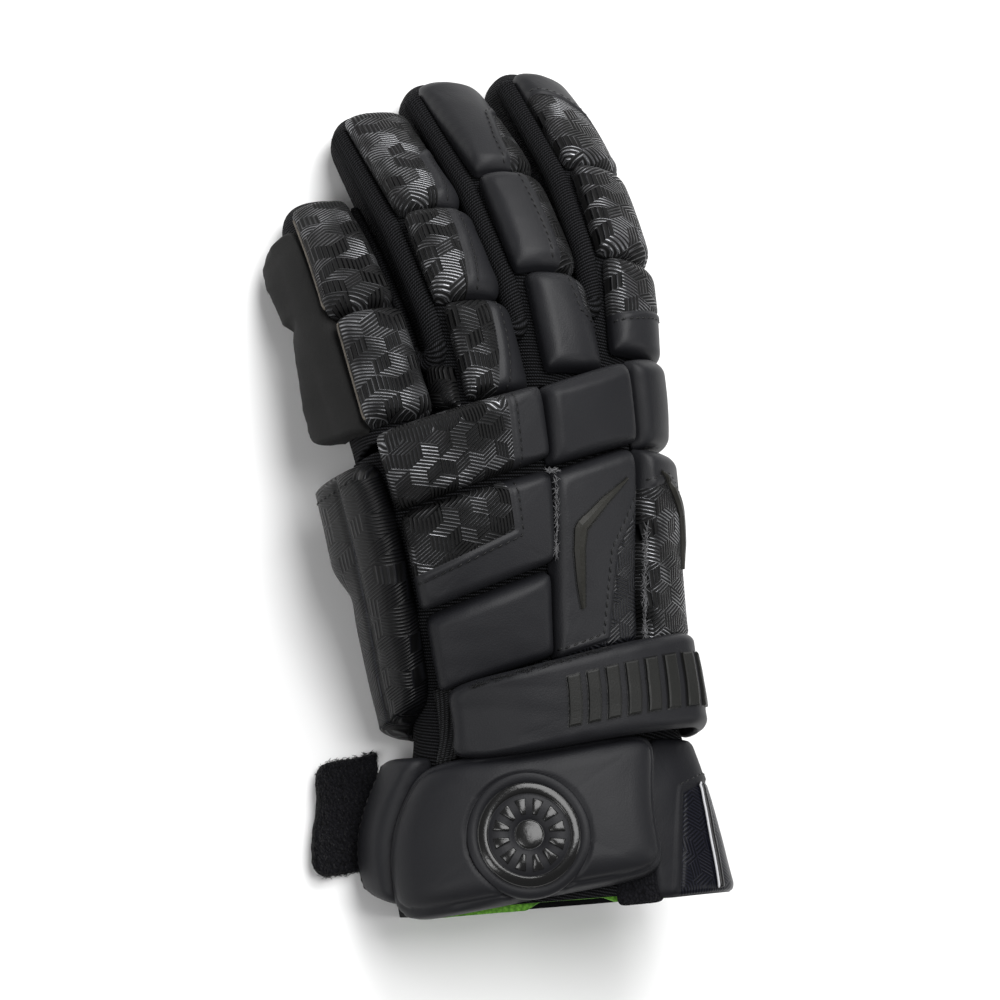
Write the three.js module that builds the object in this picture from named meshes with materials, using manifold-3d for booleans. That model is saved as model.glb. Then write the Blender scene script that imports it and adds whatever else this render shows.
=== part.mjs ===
// Padded lacrosse glove for a left hand, lying palm down on the cuff, the thumb and the fingertips.
// Millimetres, +Z up, +Y to the fingertips, little finger at -X. The back of the hand is up.
import * as THREE from "three";
import Module from "manifold-3d";

const wasm = await Module();
wasm.setup();

// Driving sizes
const HAND_LENGTH = 182;     // cuff mouth to the front of the knuckles
const HALF_WIDTH = 63;       // half width of the hand at the knuckles
const HALF_HEIGHT = 28;      // half height of the hand at the cuff
const KNUCKLE_RISE = 55;     // middle of the hand over the ground, at the knuckles
const FRONT_SKEW = 0.147;    // the knuckle line runs forward to the index finger by this share
const FINGER_LENGTH = 154;   // knuckle to tip of the middle finger
const THUMB_LENGTH = 94;     // root of the thumb to its tip
const FINGER_WIDTH = 14.6;   // half width of a finger of the liner
const FINGER_HEIGHT = 17.5;  // half height of a finger at its root
const TIP_HEIGHT = 11;       // half height of a finger near its tip
const TIP_ROUND = 14;        // length of the rounded tip
const HAND_WALL = 2.4;       // knit and lining of the hand
const FINGER_WALL = 2.0;     // knit of a finger
const TIP_CLEAR = 0.1;       // fingertips over the ground
const SEAM_GAP = 0.35;       // between two liners that meet
const LIE_GAP = 1.0;         // between a liner and a piece lying on it
const ROLL_PAD = 9;          // thickness of a finger roll
const HAND_PAD = 9.5;        // thickness of the rolls over the hand
const PLATE_PAD = 10;        // thickness of the outer plate
const INNER_PLATE_PAD = 12;  // thickness of the inner plate, at the thumb side
const CUFF_PAD = 15;         // thickness of the cuff shield
const SIDE_PAD = 13;         // thickness of the bolster down the little-finger side
const WRIST_PAD = 10;        // thickness of the wrist pad
const STRAP = 3;             // thickness of the wrist strap
const TAB = 1.6;             // thickness of the webbing tab
const BAND_PAD = 14;         // thickness of the band at the little-finger side of the cuff
const FLARE_PAD = 4;         // thickness of the flare at the thumb side of the cuff
const SIDE_PATCH = 5;        // thickness of the patch on the side of the little finger
const PALM_SKIN = 1.2;       // thickness of the palm leather
const LOOP_REACH = 27;       // how far the loop strap lies out past the wrist
const LOOP_WIDTH = 41;
const LOOP_SLANT = 5;        // its two edges are offset by this each way
const LOOP_SKIN = 3;
const LINING = 1.2;          // thickness of the lining at the cuff mouth
const LINING_LIP = 3;        // how far it stands out of the mouth
const BAR_WIDTH = 3;
const BAR = 1.4;             // height of the raised bars
const BADGE_RADIUS = 21;     // round boss on the cuff shield

// Sections of the hand, as shares of the sizes above: y of the length, x and w of the half width,
// z of the knuckle rise, h of the half height. Roll is in degrees.
const HAND = [
  { y: 0, x: -0.14, z: 0.56, w: 1, h: 1, skew: -1.2, roll: -18 },
  { y: 0.165, x: -0.14, z: 0.53, w: 0.94, h: 0.965, skew: -0.9, roll: -18 },
  { y: 0.363, x: 0, z: 0.56, w: 0.81, h: 0.965, skew: -0.4, roll: -9 },
  { y: 0.56, x: 0.015, z: 0.67, w: 0.84, h: 0.965, skew: 0.34, roll: -3 },
  { y: 0.78, x: 0.03, z: 0.855, w: 0.92, h: 0.965, skew: 0.68, roll: 0 },
  { y: 1, x: 0.05, z: 0.99, w: 1, h: 0.985, skew: 1, roll: 0 },
];

// Fingers: x of the root as a share of the half width, z of the knuckle rise, turn to the
// little-finger side and roll in degrees, bones as shares of the finger length, slopes in degrees.
// The last slope is where the search for the slope that rests the tip on the ground starts.
const FINGERS = [
  { name: "little", x: -0.659, z: 0.89, turn: -2.5, roll: -12, height: 0.97,
    bones: [0.299, 0.214, 0.253], slope: [-13, -23, -29] },
  { name: "ring", x: -0.167, z: 1.009, turn: -4, roll: -4, height: 1,
    bones: [0.247, 0.26, 0.454], slope: [-5, -19, -28] },
  { name: "middle", x: 0.325, z: 1.036, turn: -8, roll: 5, height: 1,
    bones: [0.26, 0.292, 0.448], slope: [-6, -19, -27] },
  { name: "index", x: 0.81, z: 0.909, turn: -15, roll: 15, height: 0.97,
    bones: [0.279, 0.26, 0.435], slope: [-2, -18, -27] },
];
// The thumb lies along the palm: its root as shares of the half width, the length and the rise.
const THUMB = { name: "thumb", x: 0.73, y: 0.44, z: 0.33, turn: -15, roll: 40, height: 0.75,
  bones: [0.34, 0.34, 0.32], slope: [-4, -3, -6] };

// Small helpers
const V = (x, y, z) => new THREE.Vector3(x, y, z);
const turned = (v, axis, degrees) => v.clone().applyAxisAngle(axis, THREE.MathUtils.degToRad(degrees));
const mix = (a, b, s) => a + (b - a) * s;
const smooth = (s) => {
  const c = Math.min(Math.max(s, 0), 1);
  return c * c * (3 - 2 * c);
};

// Value of a column of the hand table at a share of the length, on a smooth curve through the rows.
function column(key, share) {
  const n = HAND.length;
  const s = Math.min(Math.max(share, 0), 1);
  let i = 0;
  while (i < n - 2 && s > HAND[i + 1].y) i += 1;
  const rise = (a, b) => (HAND[b][key] - HAND[a][key]) / (HAND[b].y - HAND[a].y);
  const tangent = (k) => (k === 0 ? rise(0, 1) : k === n - 1 ? rise(n - 2, n - 1) : rise(k - 1, k + 1));
  const step = HAND[i + 1].y - HAND[i].y;
  const u = (s - HAND[i].y) / step;
  const a = HAND[i][key];
  const b = HAND[i + 1][key];
  const ta = tangent(i) * step;
  const tb = tangent(i + 1) * step;
  return (2 * u ** 3 - 3 * u ** 2 + 1) * a + (u ** 3 - 2 * u ** 2 + u) * ta
    + (3 * u ** 2 - 2 * u ** 3) * b + (u ** 3 - u ** 2) * tb;
}

// A surface gives its cross-section at a length t: middle, two directions, half sizes, squareness.
const handSurface = {
  length: HAND_LENGTH,
  section(t) {
    const s = t / HAND_LENGTH;
    const side = turned(V(1, 0, 0), V(0, 1, 0), column("roll", s));
    side.y += column("skew", s) * FRONT_SKEW;
    return {
      middle: V(column("x", s) * HALF_WIDTH, t, column("z", s) * KNUCKLE_RISE),
      side,
      up: turned(V(0, 0, 1), V(0, 1, 0), column("roll", s)),
      w: column("w", s) * HALF_WIDTH,
      h: column("h", s) * HALF_HEIGHT,
      square: 2.4,
    };
  },
};

// Height of the front of the hand over the cuff, on the skewed line of the knuckles
const frontAt = (x) => HAND_LENGTH + FRONT_SKEW * (x - HAND[HAND.length - 1].x * HALF_WIDTH);

function fingerSurface(finger, boneUnit, rootY, lastSlope) {
  const bones = finger.bones.map((share) => share * boneUnit);
  const length = bones[0] + bones[1] + bones[2];
  const bend = TIP_ROUND * 0.65;
  const slopeAt = (t) => finger.slope[0]
    + (finger.slope[1] - finger.slope[0]) * smooth((t - bones[0] + bend) / (2 * bend))
    + (lastSlope - finger.slope[1]) * smooth((t - bones[0] - bones[1] + bend) / (2 * bend));
  const place = (v) => turned(turned(v, V(0, 1, 0), finger.roll), V(0, 0, 1), finger.turn);
  const along = (t) => {
    const a = THREE.MathUtils.degToRad(slopeAt(t));
    return place(V(0, Math.cos(a), Math.sin(a)));
  };
  const path = [V(finger.x * HALF_WIDTH, rootY, finger.z * KNUCKLE_RISE)];
  for (let t = 0; t < length; t += 1) path.push(path[t].clone().add(along(t + 0.5)));
  return {
    length,
    section(t) {
      const i = Math.min(Math.max(Math.floor(t), 0), path.length - 2);
      const middle = path[i].clone().add(along(i + 0.5).multiplyScalar(t - i));
      const a = THREE.MathUtils.degToRad(slopeAt(t));
      const s = Math.min(Math.max(t / length, 0), 1);
      const e = Math.min(Math.max((t - length + TIP_ROUND) / TIP_ROUND, 0), 1);
      const round = Math.max(1 - e ** 2.4, 0.0001) ** (1 / 2.4);
      const root = FINGER_HEIGHT * finger.height;
      return {
        middle,
        side: place(V(1, 0, 0)),
        up: place(V(0, -Math.sin(a), Math.cos(a))),
        w: FINGER_WIDTH * round,
        h: mix(root, TIP_HEIGHT, s * s) * round,
        square: 2.5,
      };
    },
  };
}

// Point of a section at a share q of half its girth: 0 on the back, 0.5 at the thumb side, 1 palm.
function rim(section, q, inset = 0) {
  const w = Math.max(section.w - inset, 0.2);
  const h = Math.max(section.h - inset, 0.2);
  const steps = 64;
  const at = (k) => {
    const a = Math.PI * (0.5 - k / steps);
    const x = w * Math.abs(Math.cos(a)) ** (2 / section.square);
    const z = h * Math.sign(Math.sin(a)) * Math.abs(Math.sin(a)) ** (2 / section.square);
    return [x, z];
  };
  const reach = [0];
  for (let k = 1; k <= steps; k += 1) {
    const a = at(k - 1);
    const b = at(k);
    reach.push(reach[k - 1] + Math.hypot(b[0] - a[0], b[1] - a[1]));
  }
  const turns = q > 1 ? q - 2 : q < -1 ? q + 2 : q;
  const want = Math.abs(turns) * reach[steps];
  let k = 1;
  while (k < steps && reach[k] < want) k += 1;
  const s = (want - reach[k - 1]) / (reach[k] - reach[k - 1]);
  const a = at(k - 1);
  const b = at(k);
  return section.middle.clone()
    .addScaledVector(section.side, Math.sign(turns) * mix(a[0], b[0], s))
    .addScaledVector(section.up, mix(a[1], b[1], s));
}

// Half the girth of a section, which is one unit of q
function halfGirth(section) {
  let sum = 0;
  for (let k = 0; k < 24; k += 1) sum += rim(section, k / 24).distanceTo(rim(section, (k + 1) / 24));
  return sum;
}

function onSurface(surface, q, t, lift) {
  const p = rim(surface.section(t), q);
  const across = rim(surface.section(t), q + 0.01).sub(rim(surface.section(t), q - 0.01));
  const along = rim(surface.section(t + 0.3), q).sub(rim(surface.section(t - 0.3), q));
  return p.addScaledVector(across.cross(along).normalize(), lift);
}

// Closed solids, with the faces turned outwards whichever way the rings run
function solidOf(points, faces) {
  const vertProperties = new Float32Array(points.flatMap((p) => [p.x, p.y, p.z]));
  const made = (list) => new wasm.Manifold(
    new wasm.Mesh({ numProp: 3, vertProperties, triVerts: new Uint32Array(list.flat()) }));
  const solid = made(faces);
  return solid.volume() > 0 ? solid : made(faces.map(([a, b, c]) => [a, c, b]));
}

// Skin through a row of rings that hold the same number of points, with a fan over each end.
function skin(rings) {
  const n = rings[0].length;
  const points = rings.flat();
  const faces = [];
  for (let r = 0; r < rings.length - 1; r += 1) {
    for (let i = 0; i < n; i += 1) {
      const a = r * n + i;
      const b = r * n + ((i + 1) % n);
      faces.push([a, b, b + n], [a, b + n, a + n]);
    }
  }
  const middleOf = (ring) => ring.reduce((s, p) => s.add(p), V(0, 0, 0)).divideScalar(n);
  points.push(middleOf(rings[0]), middleOf(rings[rings.length - 1]));
  const last = (rings.length - 1) * n;
  for (let i = 0; i < n; i += 1) {
    const j = (i + 1) % n;
    faces.push([j, i, points.length - 2], [last + i, last + j, points.length - 1]);
  }
  return solidOf(points, faces);
}

function tube(surface, stations, around, inset, floor) {
  const rings = stations.map((t) => {
    const ring = [];
    for (let i = 0; i < around; i += 1) {
      const p = rim(surface.section(t), -1 + (2 * i) / around, inset);
      p.z = Math.max(p.z, floor);
      ring.push(p);
    }
    return ring.reverse();
  });
  return skin(rings);
}

// A padded piece lying on a surface. Corners are [q, t] from the fingertip side, thumb side last of
// the first pair: far left, far right, near right, near left. Crown is how flat the top stays.
// Left and end thin or thicken it towards that edge, and lie is the gap below it.
function pillow(surface, spec) {
  const { corners, thick, lie = LIE_GAP, cells = [5, 4], crown = 4, edge = 0.45, end = 1, left = 1 } = spec;
  const [farLeft, farRight, nearRight, nearLeft] = corners;
  const dome = (s) => 1 - Math.abs(2 * s - 1) ** crown;
  const [nu, nv] = cells;
  const layer = (top) => {
    const points = [];
    for (let j = 0; j <= nv; j += 1) {
      for (let i = 0; i <= nu; i += 1) {
        const u = i / nu;
        const v = j / nv;
        const q = mix(mix(nearLeft[0], nearRight[0], u), mix(farLeft[0], farRight[0], u), v);
        const t = mix(mix(nearLeft[1], nearRight[1], u), mix(farLeft[1], farRight[1], u), v);
        const full = thick * mix(1, end, v ** 2) * mix(left, 1, u);
        const under = typeof lie === "function" ? lie(u) : lie;
        const lift = under + (top ? full * (edge + (1 - edge) * dome(u) * dome(v)) : 0);
        points.push(onSurface(surface, q, t, lift));
      }
    }
    return points;
  };
  const points = [...layer(false), ...layer(true)];
  const size = (nu + 1) * (nv + 1);
  const at = (i, j) => j * (nu + 1) + i;
  const faces = [];
  for (let j = 0; j < nv; j += 1) {
    for (let i = 0; i < nu; i += 1) {
      const [a, b, c, d] = [at(i, j), at(i + 1, j), at(i + 1, j + 1), at(i, j + 1)];
      faces.push([a + size, b + size, c + size], [a + size, c + size, d + size]);
      faces.push([b, a, c], [c, a, d]);
    }
  }
  const wall = (a, b) => faces.push([a, b, b + size], [a, b + size, a + size]);
  for (let i = 0; i < nu; i += 1) {
    wall(at(i, 0), at(i + 1, 0));
    wall(at(i + 1, nv), at(i, nv));
  }
  for (let j = 0; j < nv; j += 1) {
    wall(at(nu, j), at(nu, j + 1));
    wall(at(0, j + 1), at(0, j));
  }
  return solidOf(points, faces);
}

// A raised bar along a path of [q, t] points, a strip of even width that follows the surface.
function strip(surface, path, width, lift, height) {
  const girth = halfGirth(surface.section(path[0][1]));
  const flat = path.map(([q, t]) => new THREE.Vector2(q * girth, t));
  const rings = flat.map((p, i) => {
    const before = flat[Math.max(i - 1, 0)];
    const after = flat[Math.min(i + 1, flat.length - 1)];
    const way = after.clone().sub(before).normalize();
    const across = new THREE.Vector2(way.y, -way.x).multiplyScalar(width / 2);
    const a = p.clone().add(across);
    const b = p.clone().sub(across);
    return [
      onSurface(surface, b.x / girth, b.y, lift),
      onSurface(surface, a.x / girth, a.y, lift),
      onSurface(surface, a.x / girth, a.y, lift + height),
      onSurface(surface, b.x / girth, b.y, lift + height),
    ];
  });
  return skin(rings);
}

const group = new THREE.Group();
group.name = "lacrosse_glove";

function add(name, solid, color, roughness, metalness = 0) {
  const mesh = solid.getMesh();
  const step = mesh.numProp;
  const place = new Float32Array(mesh.numVert * 3);
  for (let i = 0; i < mesh.numVert; i += 1) {
    for (let k = 0; k < 3; k += 1) place[i * 3 + k] = mesh.vertProperties[i * step + k];
  }
  const geometry = new THREE.BufferGeometry();
  geometry.setAttribute("position", new THREE.BufferAttribute(place, 3));
  geometry.setIndex(new THREE.BufferAttribute(new Uint32Array(mesh.triVerts), 1));
  geometry.computeVertexNormals();
  const made = new THREE.Mesh(geometry, new THREE.MeshStandardMaterial({ color, roughness, metalness }));
  made.name = name;
  group.add(made);
}

const KNIT = 0x1d1e20;
const LEATHER = 0x303133;
const GLOSS = 0x1b1c1e;
const BARS = 0x2f2f2b;

// Liners: the hand is a tube with a front wall, each finger is a cup over a hole in that wall
const surfaces = {};
const lowest = (surface) => {
  let low = Infinity;
  for (let t = surface.length * 0.7; t < surface.length; t += 1) {
    for (let q = 0.7; q <= 1.3; q += 0.05) low = Math.min(low, rim(surface.section(t), q).z);
  }
  return low;
};
// The last bone slopes down until the tip just meets the ground
FINGERS.forEach((finger) => {
  let steep = finger.slope[2] - 12;
  let flat = finger.slope[2] + 12;
  for (let k = 0; k < 14; k += 1) {
    const middle = (steep + flat) / 2;
    const trial = fingerSurface(finger, FINGER_LENGTH, frontAt(finger.x * HALF_WIDTH), middle);
    if (lowest(trial) > TIP_CLEAR) flat = middle;
    else steep = middle;
  }
  surfaces[finger.name] = fingerSurface(finger, FINGER_LENGTH, frontAt(finger.x * HALF_WIDTH), flat);
});
surfaces.thumb = fingerSurface(THUMB, THUMB_LENGTH, THUMB.y * HAND_LENGTH, THUMB.slope[2]);
const handRows = [0, 0.08, 0.165, 0.26, 0.363, 0.46, 0.56, 0.67, 0.78, 0.89, 1].map((s) => s * HAND_LENGTH);
const OVER = 8;              // how far a cutting solid runs past what it cuts
const handOuter = tube(handSurface, handRows, 32, 0, 0);
const handInner = tube(handSurface, [-OVER, ...handRows.slice(0, -1), HAND_LENGTH - HAND_WALL], 32, HAND_WALL, HAND_WALL);
const handCover = tube(handSurface, [-OVER, ...handRows, HAND_LENGTH + 2], 32, -SEAM_GAP, -1);
const frontNormal = V(-FRONT_SKEW, 1, 0).normalize();
const frontPlace = frontNormal.dot(rim(handSurface.section(HAND_LENGTH), 0));

const fingerRows = (length, back) => [back, length * 0.15, length * 0.3, length * 0.45, length * 0.6,
  length * 0.75, length - TIP_ROUND, length - 7, length - 2.6, length - 0.5];
let handLiner = handOuter.subtract(handInner);
[...FINGERS, THUMB].forEach((finger) => {
  const surface = surfaces[finger.name];
  const rows = fingerRows(surface.length, -TIP_ROUND / 2);
  const outer = tube(surface, rows, 20, 0, 0);
  const innerRows = rows.slice(0, -1);
  innerRows[0] -= 3;
  const inner = tube(surface, innerRows, 16, FINGER_WALL, FINGER_WALL / 2);
  const hollow = outer.subtract(inner);
  if (finger.name === "thumb") {
    add("thumb_liner", hollow.subtract(handCover), KNIT, 0.9);
    handLiner = handLiner.subtract(inner);
    return;
  }
  add(`${finger.name}_liner`,
    hollow.trimByPlane([frontNormal.x, frontNormal.y, frontNormal.z], frontPlace + SEAM_GAP), KNIT, 0.9);
  handLiner = handLiner.subtract(tube(surface, [-2 * HAND_WALL, 0, OVER], 16, FINGER_WALL, 0));
});
add("hand_liner", handLiner, KNIT, 0.9);
const liningAt = HAND_WALL + 0.6;
const liningRows = [-LINING_LIP, 0.03 * HAND_LENGTH, 0.085 * HAND_LENGTH];
const liningOuter = tube(handSurface, liningRows, 32, liningAt, liningAt);
const liningInner = tube(handSurface, [liningRows[0] - OVER, liningRows[1], liningRows[2] + OVER], 32,
  liningAt + LINING, liningAt + LINING);
add("cuff_lining", liningOuter.subtract(liningInner), 0x7ab83a, 0.8);

// Finger rolls: q of the left and right edge, t as shares of the finger, end thins the far edge
const ROLLS = [
  { on: "little", name: "little_roll_far", q: [-0.24, 0.16], t: [0.424, 0.895], end: 0.75 },
  { on: "little", name: "little_roll_near", q: [-0.2, 0.18], t: [0.0339, 0.394], end: 1 },
  { on: "ring", name: "ring_roll_far", q: [-0.19, 0.24], t: [0.547, 0.935], end: 0.75 },
  { on: "ring", name: "ring_roll_middle", q: [-0.17, 0.26], t: [0.28, 0.527], end: 1 },
  { on: "ring", name: "ring_roll_near", q: [-0.13, 0.27], t: [0.0338, 0.257], end: 1 },
  { on: "middle", name: "middle_roll_far", q: [-0.19, 0.26], t: [0.578, 0.932], end: 0.75 },
  { on: "middle", name: "middle_roll_middle", q: [-0.18, 0.28], t: [0.282, 0.555], end: 1 },
  { on: "middle", name: "middle_roll_near", q: [-0.13, 0.27], t: [0.0455, 0.26], end: 1 },
  { on: "index", name: "index_roll_far", q: [-0.2, 0.3], t: [0.567, 0.93], end: 0.75 },
  { on: "index", name: "index_roll_middle", q: [-0.17, 0.31], t: [0.297, 0.543], end: 1 },
  { on: "index", name: "index_roll_near", q: [-0.14, 0.3], t: [0.0533, 0.277], end: 1 },
  { on: "thumb", name: "thumb_roll_far", q: [-0.06, 0.3], t: [0.606, 0.915], end: 0.6 },
  { on: "thumb", name: "thumb_roll_near", q: [-0.04, 0.32], t: [0.319, 0.564], end: 1 },
];
ROLLS.forEach(({ on, name, q, t, end }) => {
  const [near, far] = t.map((share) => share * surfaces[on].length);
  const corners = [[q[0], far], [q[1], far], [q[1], near], [q[0], near]];
  const thick = on === "thumb" ? ROLL_PAD * 0.6 : ROLL_PAD;
  add(name, pillow(surfaces[on], { corners, thick, end, crown: 2.6 }), GLOSS, 0.45);
});

// Pads of the hand: corners are far left, far right, near right, near left, each q and a share of
// the hand's length
const STRAP_LIE = LIE_GAP + WRIST_PAD + 1;
const PADS = [
  { name: "knuckle_roll_outer", corners: [[-0.41, 0.995], [-0.035, 0.995], [-0.035, 0.874], [-0.41, 0.868]] },
  { name: "knuckle_roll_middle", corners: [[-0.01, 0.989], [0.25, 0.989], [0.25, 0.857], [-0.01, 0.857]] },
  { name: "knuckle_roll_inner", corners: [[0.27, 0.986], [0.45, 0.978], [0.45, 0.841], [0.27, 0.841]] },
  { name: "backhand_roll_upper", corners: [[-0.4, 0.849], [-0.045, 0.849], [-0.055, 0.676], [-0.39, 0.648]] },
  { name: "backhand_roll_lower", corners: [[-0.37, 0.626], [-0.06, 0.651], [-0.07, 0.5], [-0.36, 0.481]] },
  { name: "backhand_plate_outer", thick: PLATE_PAD,
    corners: [[-0.02, 0.83], [0.225, 0.83], [0.205, 0.484], [-0.045, 0.495]] },
  { name: "backhand_plate_inner", thick: INNER_PLATE_PAD,
    corners: [[0.245, 0.819], [0.48, 0.802], [0.46, 0.495], [0.225, 0.484]] },
  { name: "wrist_pad", thick: WRIST_PAD, cells: [12, 3],
    corners: [[-0.31, 0.456], [0.32, 0.455], [0.32, 0.31], [-0.29, 0.33]] },
  { name: "wrist_strap", thick: STRAP, edge: 0.9, cells: [16, 3],
    lie: (u) => mix(mix(LIE_GAP + 2.6, STRAP_LIE, smooth(u * 10)), LIE_GAP, smooth((u - 0.75) * 4.5)),
    corners: [[-0.345, 0.475], [0.52, 0.467], [0.52, 0.29], [-0.31, 0.31]] },
  { name: "cuff_shield", thick: CUFF_PAD, cells: [8, 6], crown: 6,
    corners: [[-0.345, 0.295], [0.215, 0.275], [0.195, 0.03], [-0.345, 0.003]] },
  { name: "side_bolster", thick: SIDE_PAD, lie: LIE_GAP + 0.8, cells: [5, 10],
    corners: [[-0.65, 0.99], [-0.43, 0.99], [-0.405, 0.45], [-0.65, 0.39]] },
  { name: "cuff_band", thick: BAND_PAD, lie: LIE_GAP + 0.4, cells: [4, 5], crown: 6,
    corners: [[-0.53, 0.33], [-0.375, 0.3], [-0.375, 0.05], [-0.52, 0.09]] },
  { name: "cuff_flare", thick: FLARE_PAD, cells: [5, 5], edge: 0.6,
    corners: [[0.245, 0.265], [0.5, 0.262], [0.5, 0.003], [0.225, 0.003]] },
  { name: "webbing_tab", thick: TAB, cells: [2, 3], edge: 0.9,
    corners: [[-0.395, 0.477], [-0.33, 0.467], [-0.315, 0.325], [-0.375, 0.32]] },
  { name: "palm_leather", thick: PALM_SKIN, cells: [8, 6], edge: 0.95,
    corners: [[1.34, 0.945], [0.74, 0.945], [0.8, 0.527], [1.3, 0.527]] },
];
PADS.forEach((spec) => {
  const corners = spec.corners.map(([q, share]) => [q, share * HAND_LENGTH]);
  add(spec.name, pillow(handSurface, { thick: HAND_PAD, ...spec, corners }), LEATHER, 0.5);
});

const littleLength = surfaces.little.length;
add("little_side_patch", pillow(surfaces.little, {
  corners: [[-0.6, 0.88], [-0.28, 0.83], [-0.235, 0.034], [-0.64, 0.034]].map(([q, t]) => [q, t * littleLength]),
  thick: SIDE_PATCH, left: 2.6, cells: [4, 8] }), 0x353535, 0.8);

// Raised bars of the plates, and the round boss of the cuff shield: q and shares of the hand's length
const BARS_ON_PLATES = [
  { name: "chevron_outer", path: [[0.17, 0.775], [0.1, 0.745], [0.025, 0.71], [0.027, 0.65], [0.035, 0.58]],
    lie: PLATE_PAD },
  { name: "chevron_inner", path: [[0.29, 0.77], [0.33, 0.745], [0.37, 0.71], [0.37, 0.65], [0.36, 0.58]],
    lie: INNER_PLATE_PAD },
];
BARS_ON_PLATES.forEach(({ name, path, lie }) => {
  const points = path.map(([q, share]) => [q, share * HAND_LENGTH]);
  add(name, strip(handSurface, points, BAR_WIDTH, LIE_GAP + lie + 0.4, BAR), BARS, 0.5);
});

function disc(radius, lift, height) {
  const middle = 0.13 * HAND_LENGTH;
  const girth = halfGirth(handSurface.section(middle));
  const ring = (r, raise) => {
    const points = [];
    for (let i = 0; i < 32; i += 1) {
      const a = (i / 32) * 2 * Math.PI;
      const q = -0.093 + (r * Math.cos(a)) / girth;
      points.push(onSurface(handSurface, q, middle + r * Math.sin(a), raise));
    }
    return points;
  };
  return skin([ring(radius * 0.5, lift), ring(radius, lift), ring(radius, lift + height),
    ring(radius * 0.5, lift + height)]);
}
add("badge_boss", disc(BADGE_RADIUS, LIE_GAP + CUFF_PAD + 0.5, BAR), BARS, 0.5);

// Loop-faced strap end that comes out from under the band and lies out past the wrist: reach as
// shares of its length from the side of the cuff, lift of the strap's thickness
const cuffSide = rim(handSurface.section(0.25 * HAND_LENGTH), -0.5);
const LOOP = [
  { reach: 0.1, lift: 0.13 },
  { reach: 0.5, lift: 0.2 },
  { reach: 0.8, lift: 0.7 },
  { reach: 1, lift: 1.5 },
];
const loopNear = cuffSide.y - LOOP_WIDTH / 2;
const loopFar = cuffSide.y + LOOP_WIDTH / 2;
add("loop_strap", skin(LOOP.map(({ reach, lift }) => {
  const x = cuffSide.x - reach * (LOOP_REACH + 4);
  const z = lift * LOOP_SKIN;
  const far = x + LOOP_SLANT;
  const near = x - LOOP_SLANT;
  return [V(far, loopFar, z), V(near, loopNear, z), V(near, loopNear, z + LOOP_SKIN),
    V(far, loopFar, z + LOOP_SKIN)];
})), 0x202124, 0.95);

// The origin is the middle of the ground that the glove covers
const covered = new THREE.Box3().setFromObject(group);
const centre = covered.getCenter(new THREE.Vector3());
group.position.set(-centre.x, -centre.y, -covered.min.z);

export default group;
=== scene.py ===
"""Padded lacrosse glove for a left hand, lying palm down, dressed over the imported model."""
import math

import bpy
import numpy as np
from mathutils import Matrix, Vector


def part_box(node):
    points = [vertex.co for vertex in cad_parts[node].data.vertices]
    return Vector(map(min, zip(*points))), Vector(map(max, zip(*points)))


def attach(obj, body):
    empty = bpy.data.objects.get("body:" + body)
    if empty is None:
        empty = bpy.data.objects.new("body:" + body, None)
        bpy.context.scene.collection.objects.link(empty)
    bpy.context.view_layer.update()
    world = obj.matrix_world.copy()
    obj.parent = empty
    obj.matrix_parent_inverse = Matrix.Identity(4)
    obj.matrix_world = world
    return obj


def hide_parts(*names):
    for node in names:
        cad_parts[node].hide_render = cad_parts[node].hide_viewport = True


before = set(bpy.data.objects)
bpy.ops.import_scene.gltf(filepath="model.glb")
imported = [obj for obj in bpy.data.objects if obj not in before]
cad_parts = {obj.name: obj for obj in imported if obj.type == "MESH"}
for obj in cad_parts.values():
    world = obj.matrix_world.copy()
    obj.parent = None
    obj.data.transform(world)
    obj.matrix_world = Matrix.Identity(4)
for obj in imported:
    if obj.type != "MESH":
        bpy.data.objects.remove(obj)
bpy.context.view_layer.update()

MM = 0.001
RNG = np.random.default_rng(7)

# Sizes of the model in millimetres, as in the solids; only the thumb side of the cuff's mouth is
# drawn in by a few millimetres more
HAND_LENGTH = 182.0
HALF_WIDTH = 63.0
HALF_HEIGHT = 28.0
KNUCKLE_RISE = 55.0
FRONT_SKEW = 0.147
FINGER_LENGTH = 154.0
THUMB_LENGTH = 94.0
FINGER_WIDTH = 14.6
FINGER_HEIGHT = 17.5
TIP_HEIGHT = 11.0
TIP_ROUND = 14.0
TIP_CLEAR = 0.1
HAND_WALL = 2.4
FINGER_WALL = 2.0
ROLL_PAD = 9.0
HAND_PAD = 9.5
PLATE_PAD = 10.0
INNER_PLATE_PAD = 12.0
CUFF_PAD = 15.0
HAND_POWER = 2.4  # roundness of the sections; 2 would be an ellipse
FINGER_POWER = 2.5
TIP_POWER = 2.4
KNUCKLE_BEND = 0.65  # half the length over which a finger bends, in tip roundings

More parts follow.
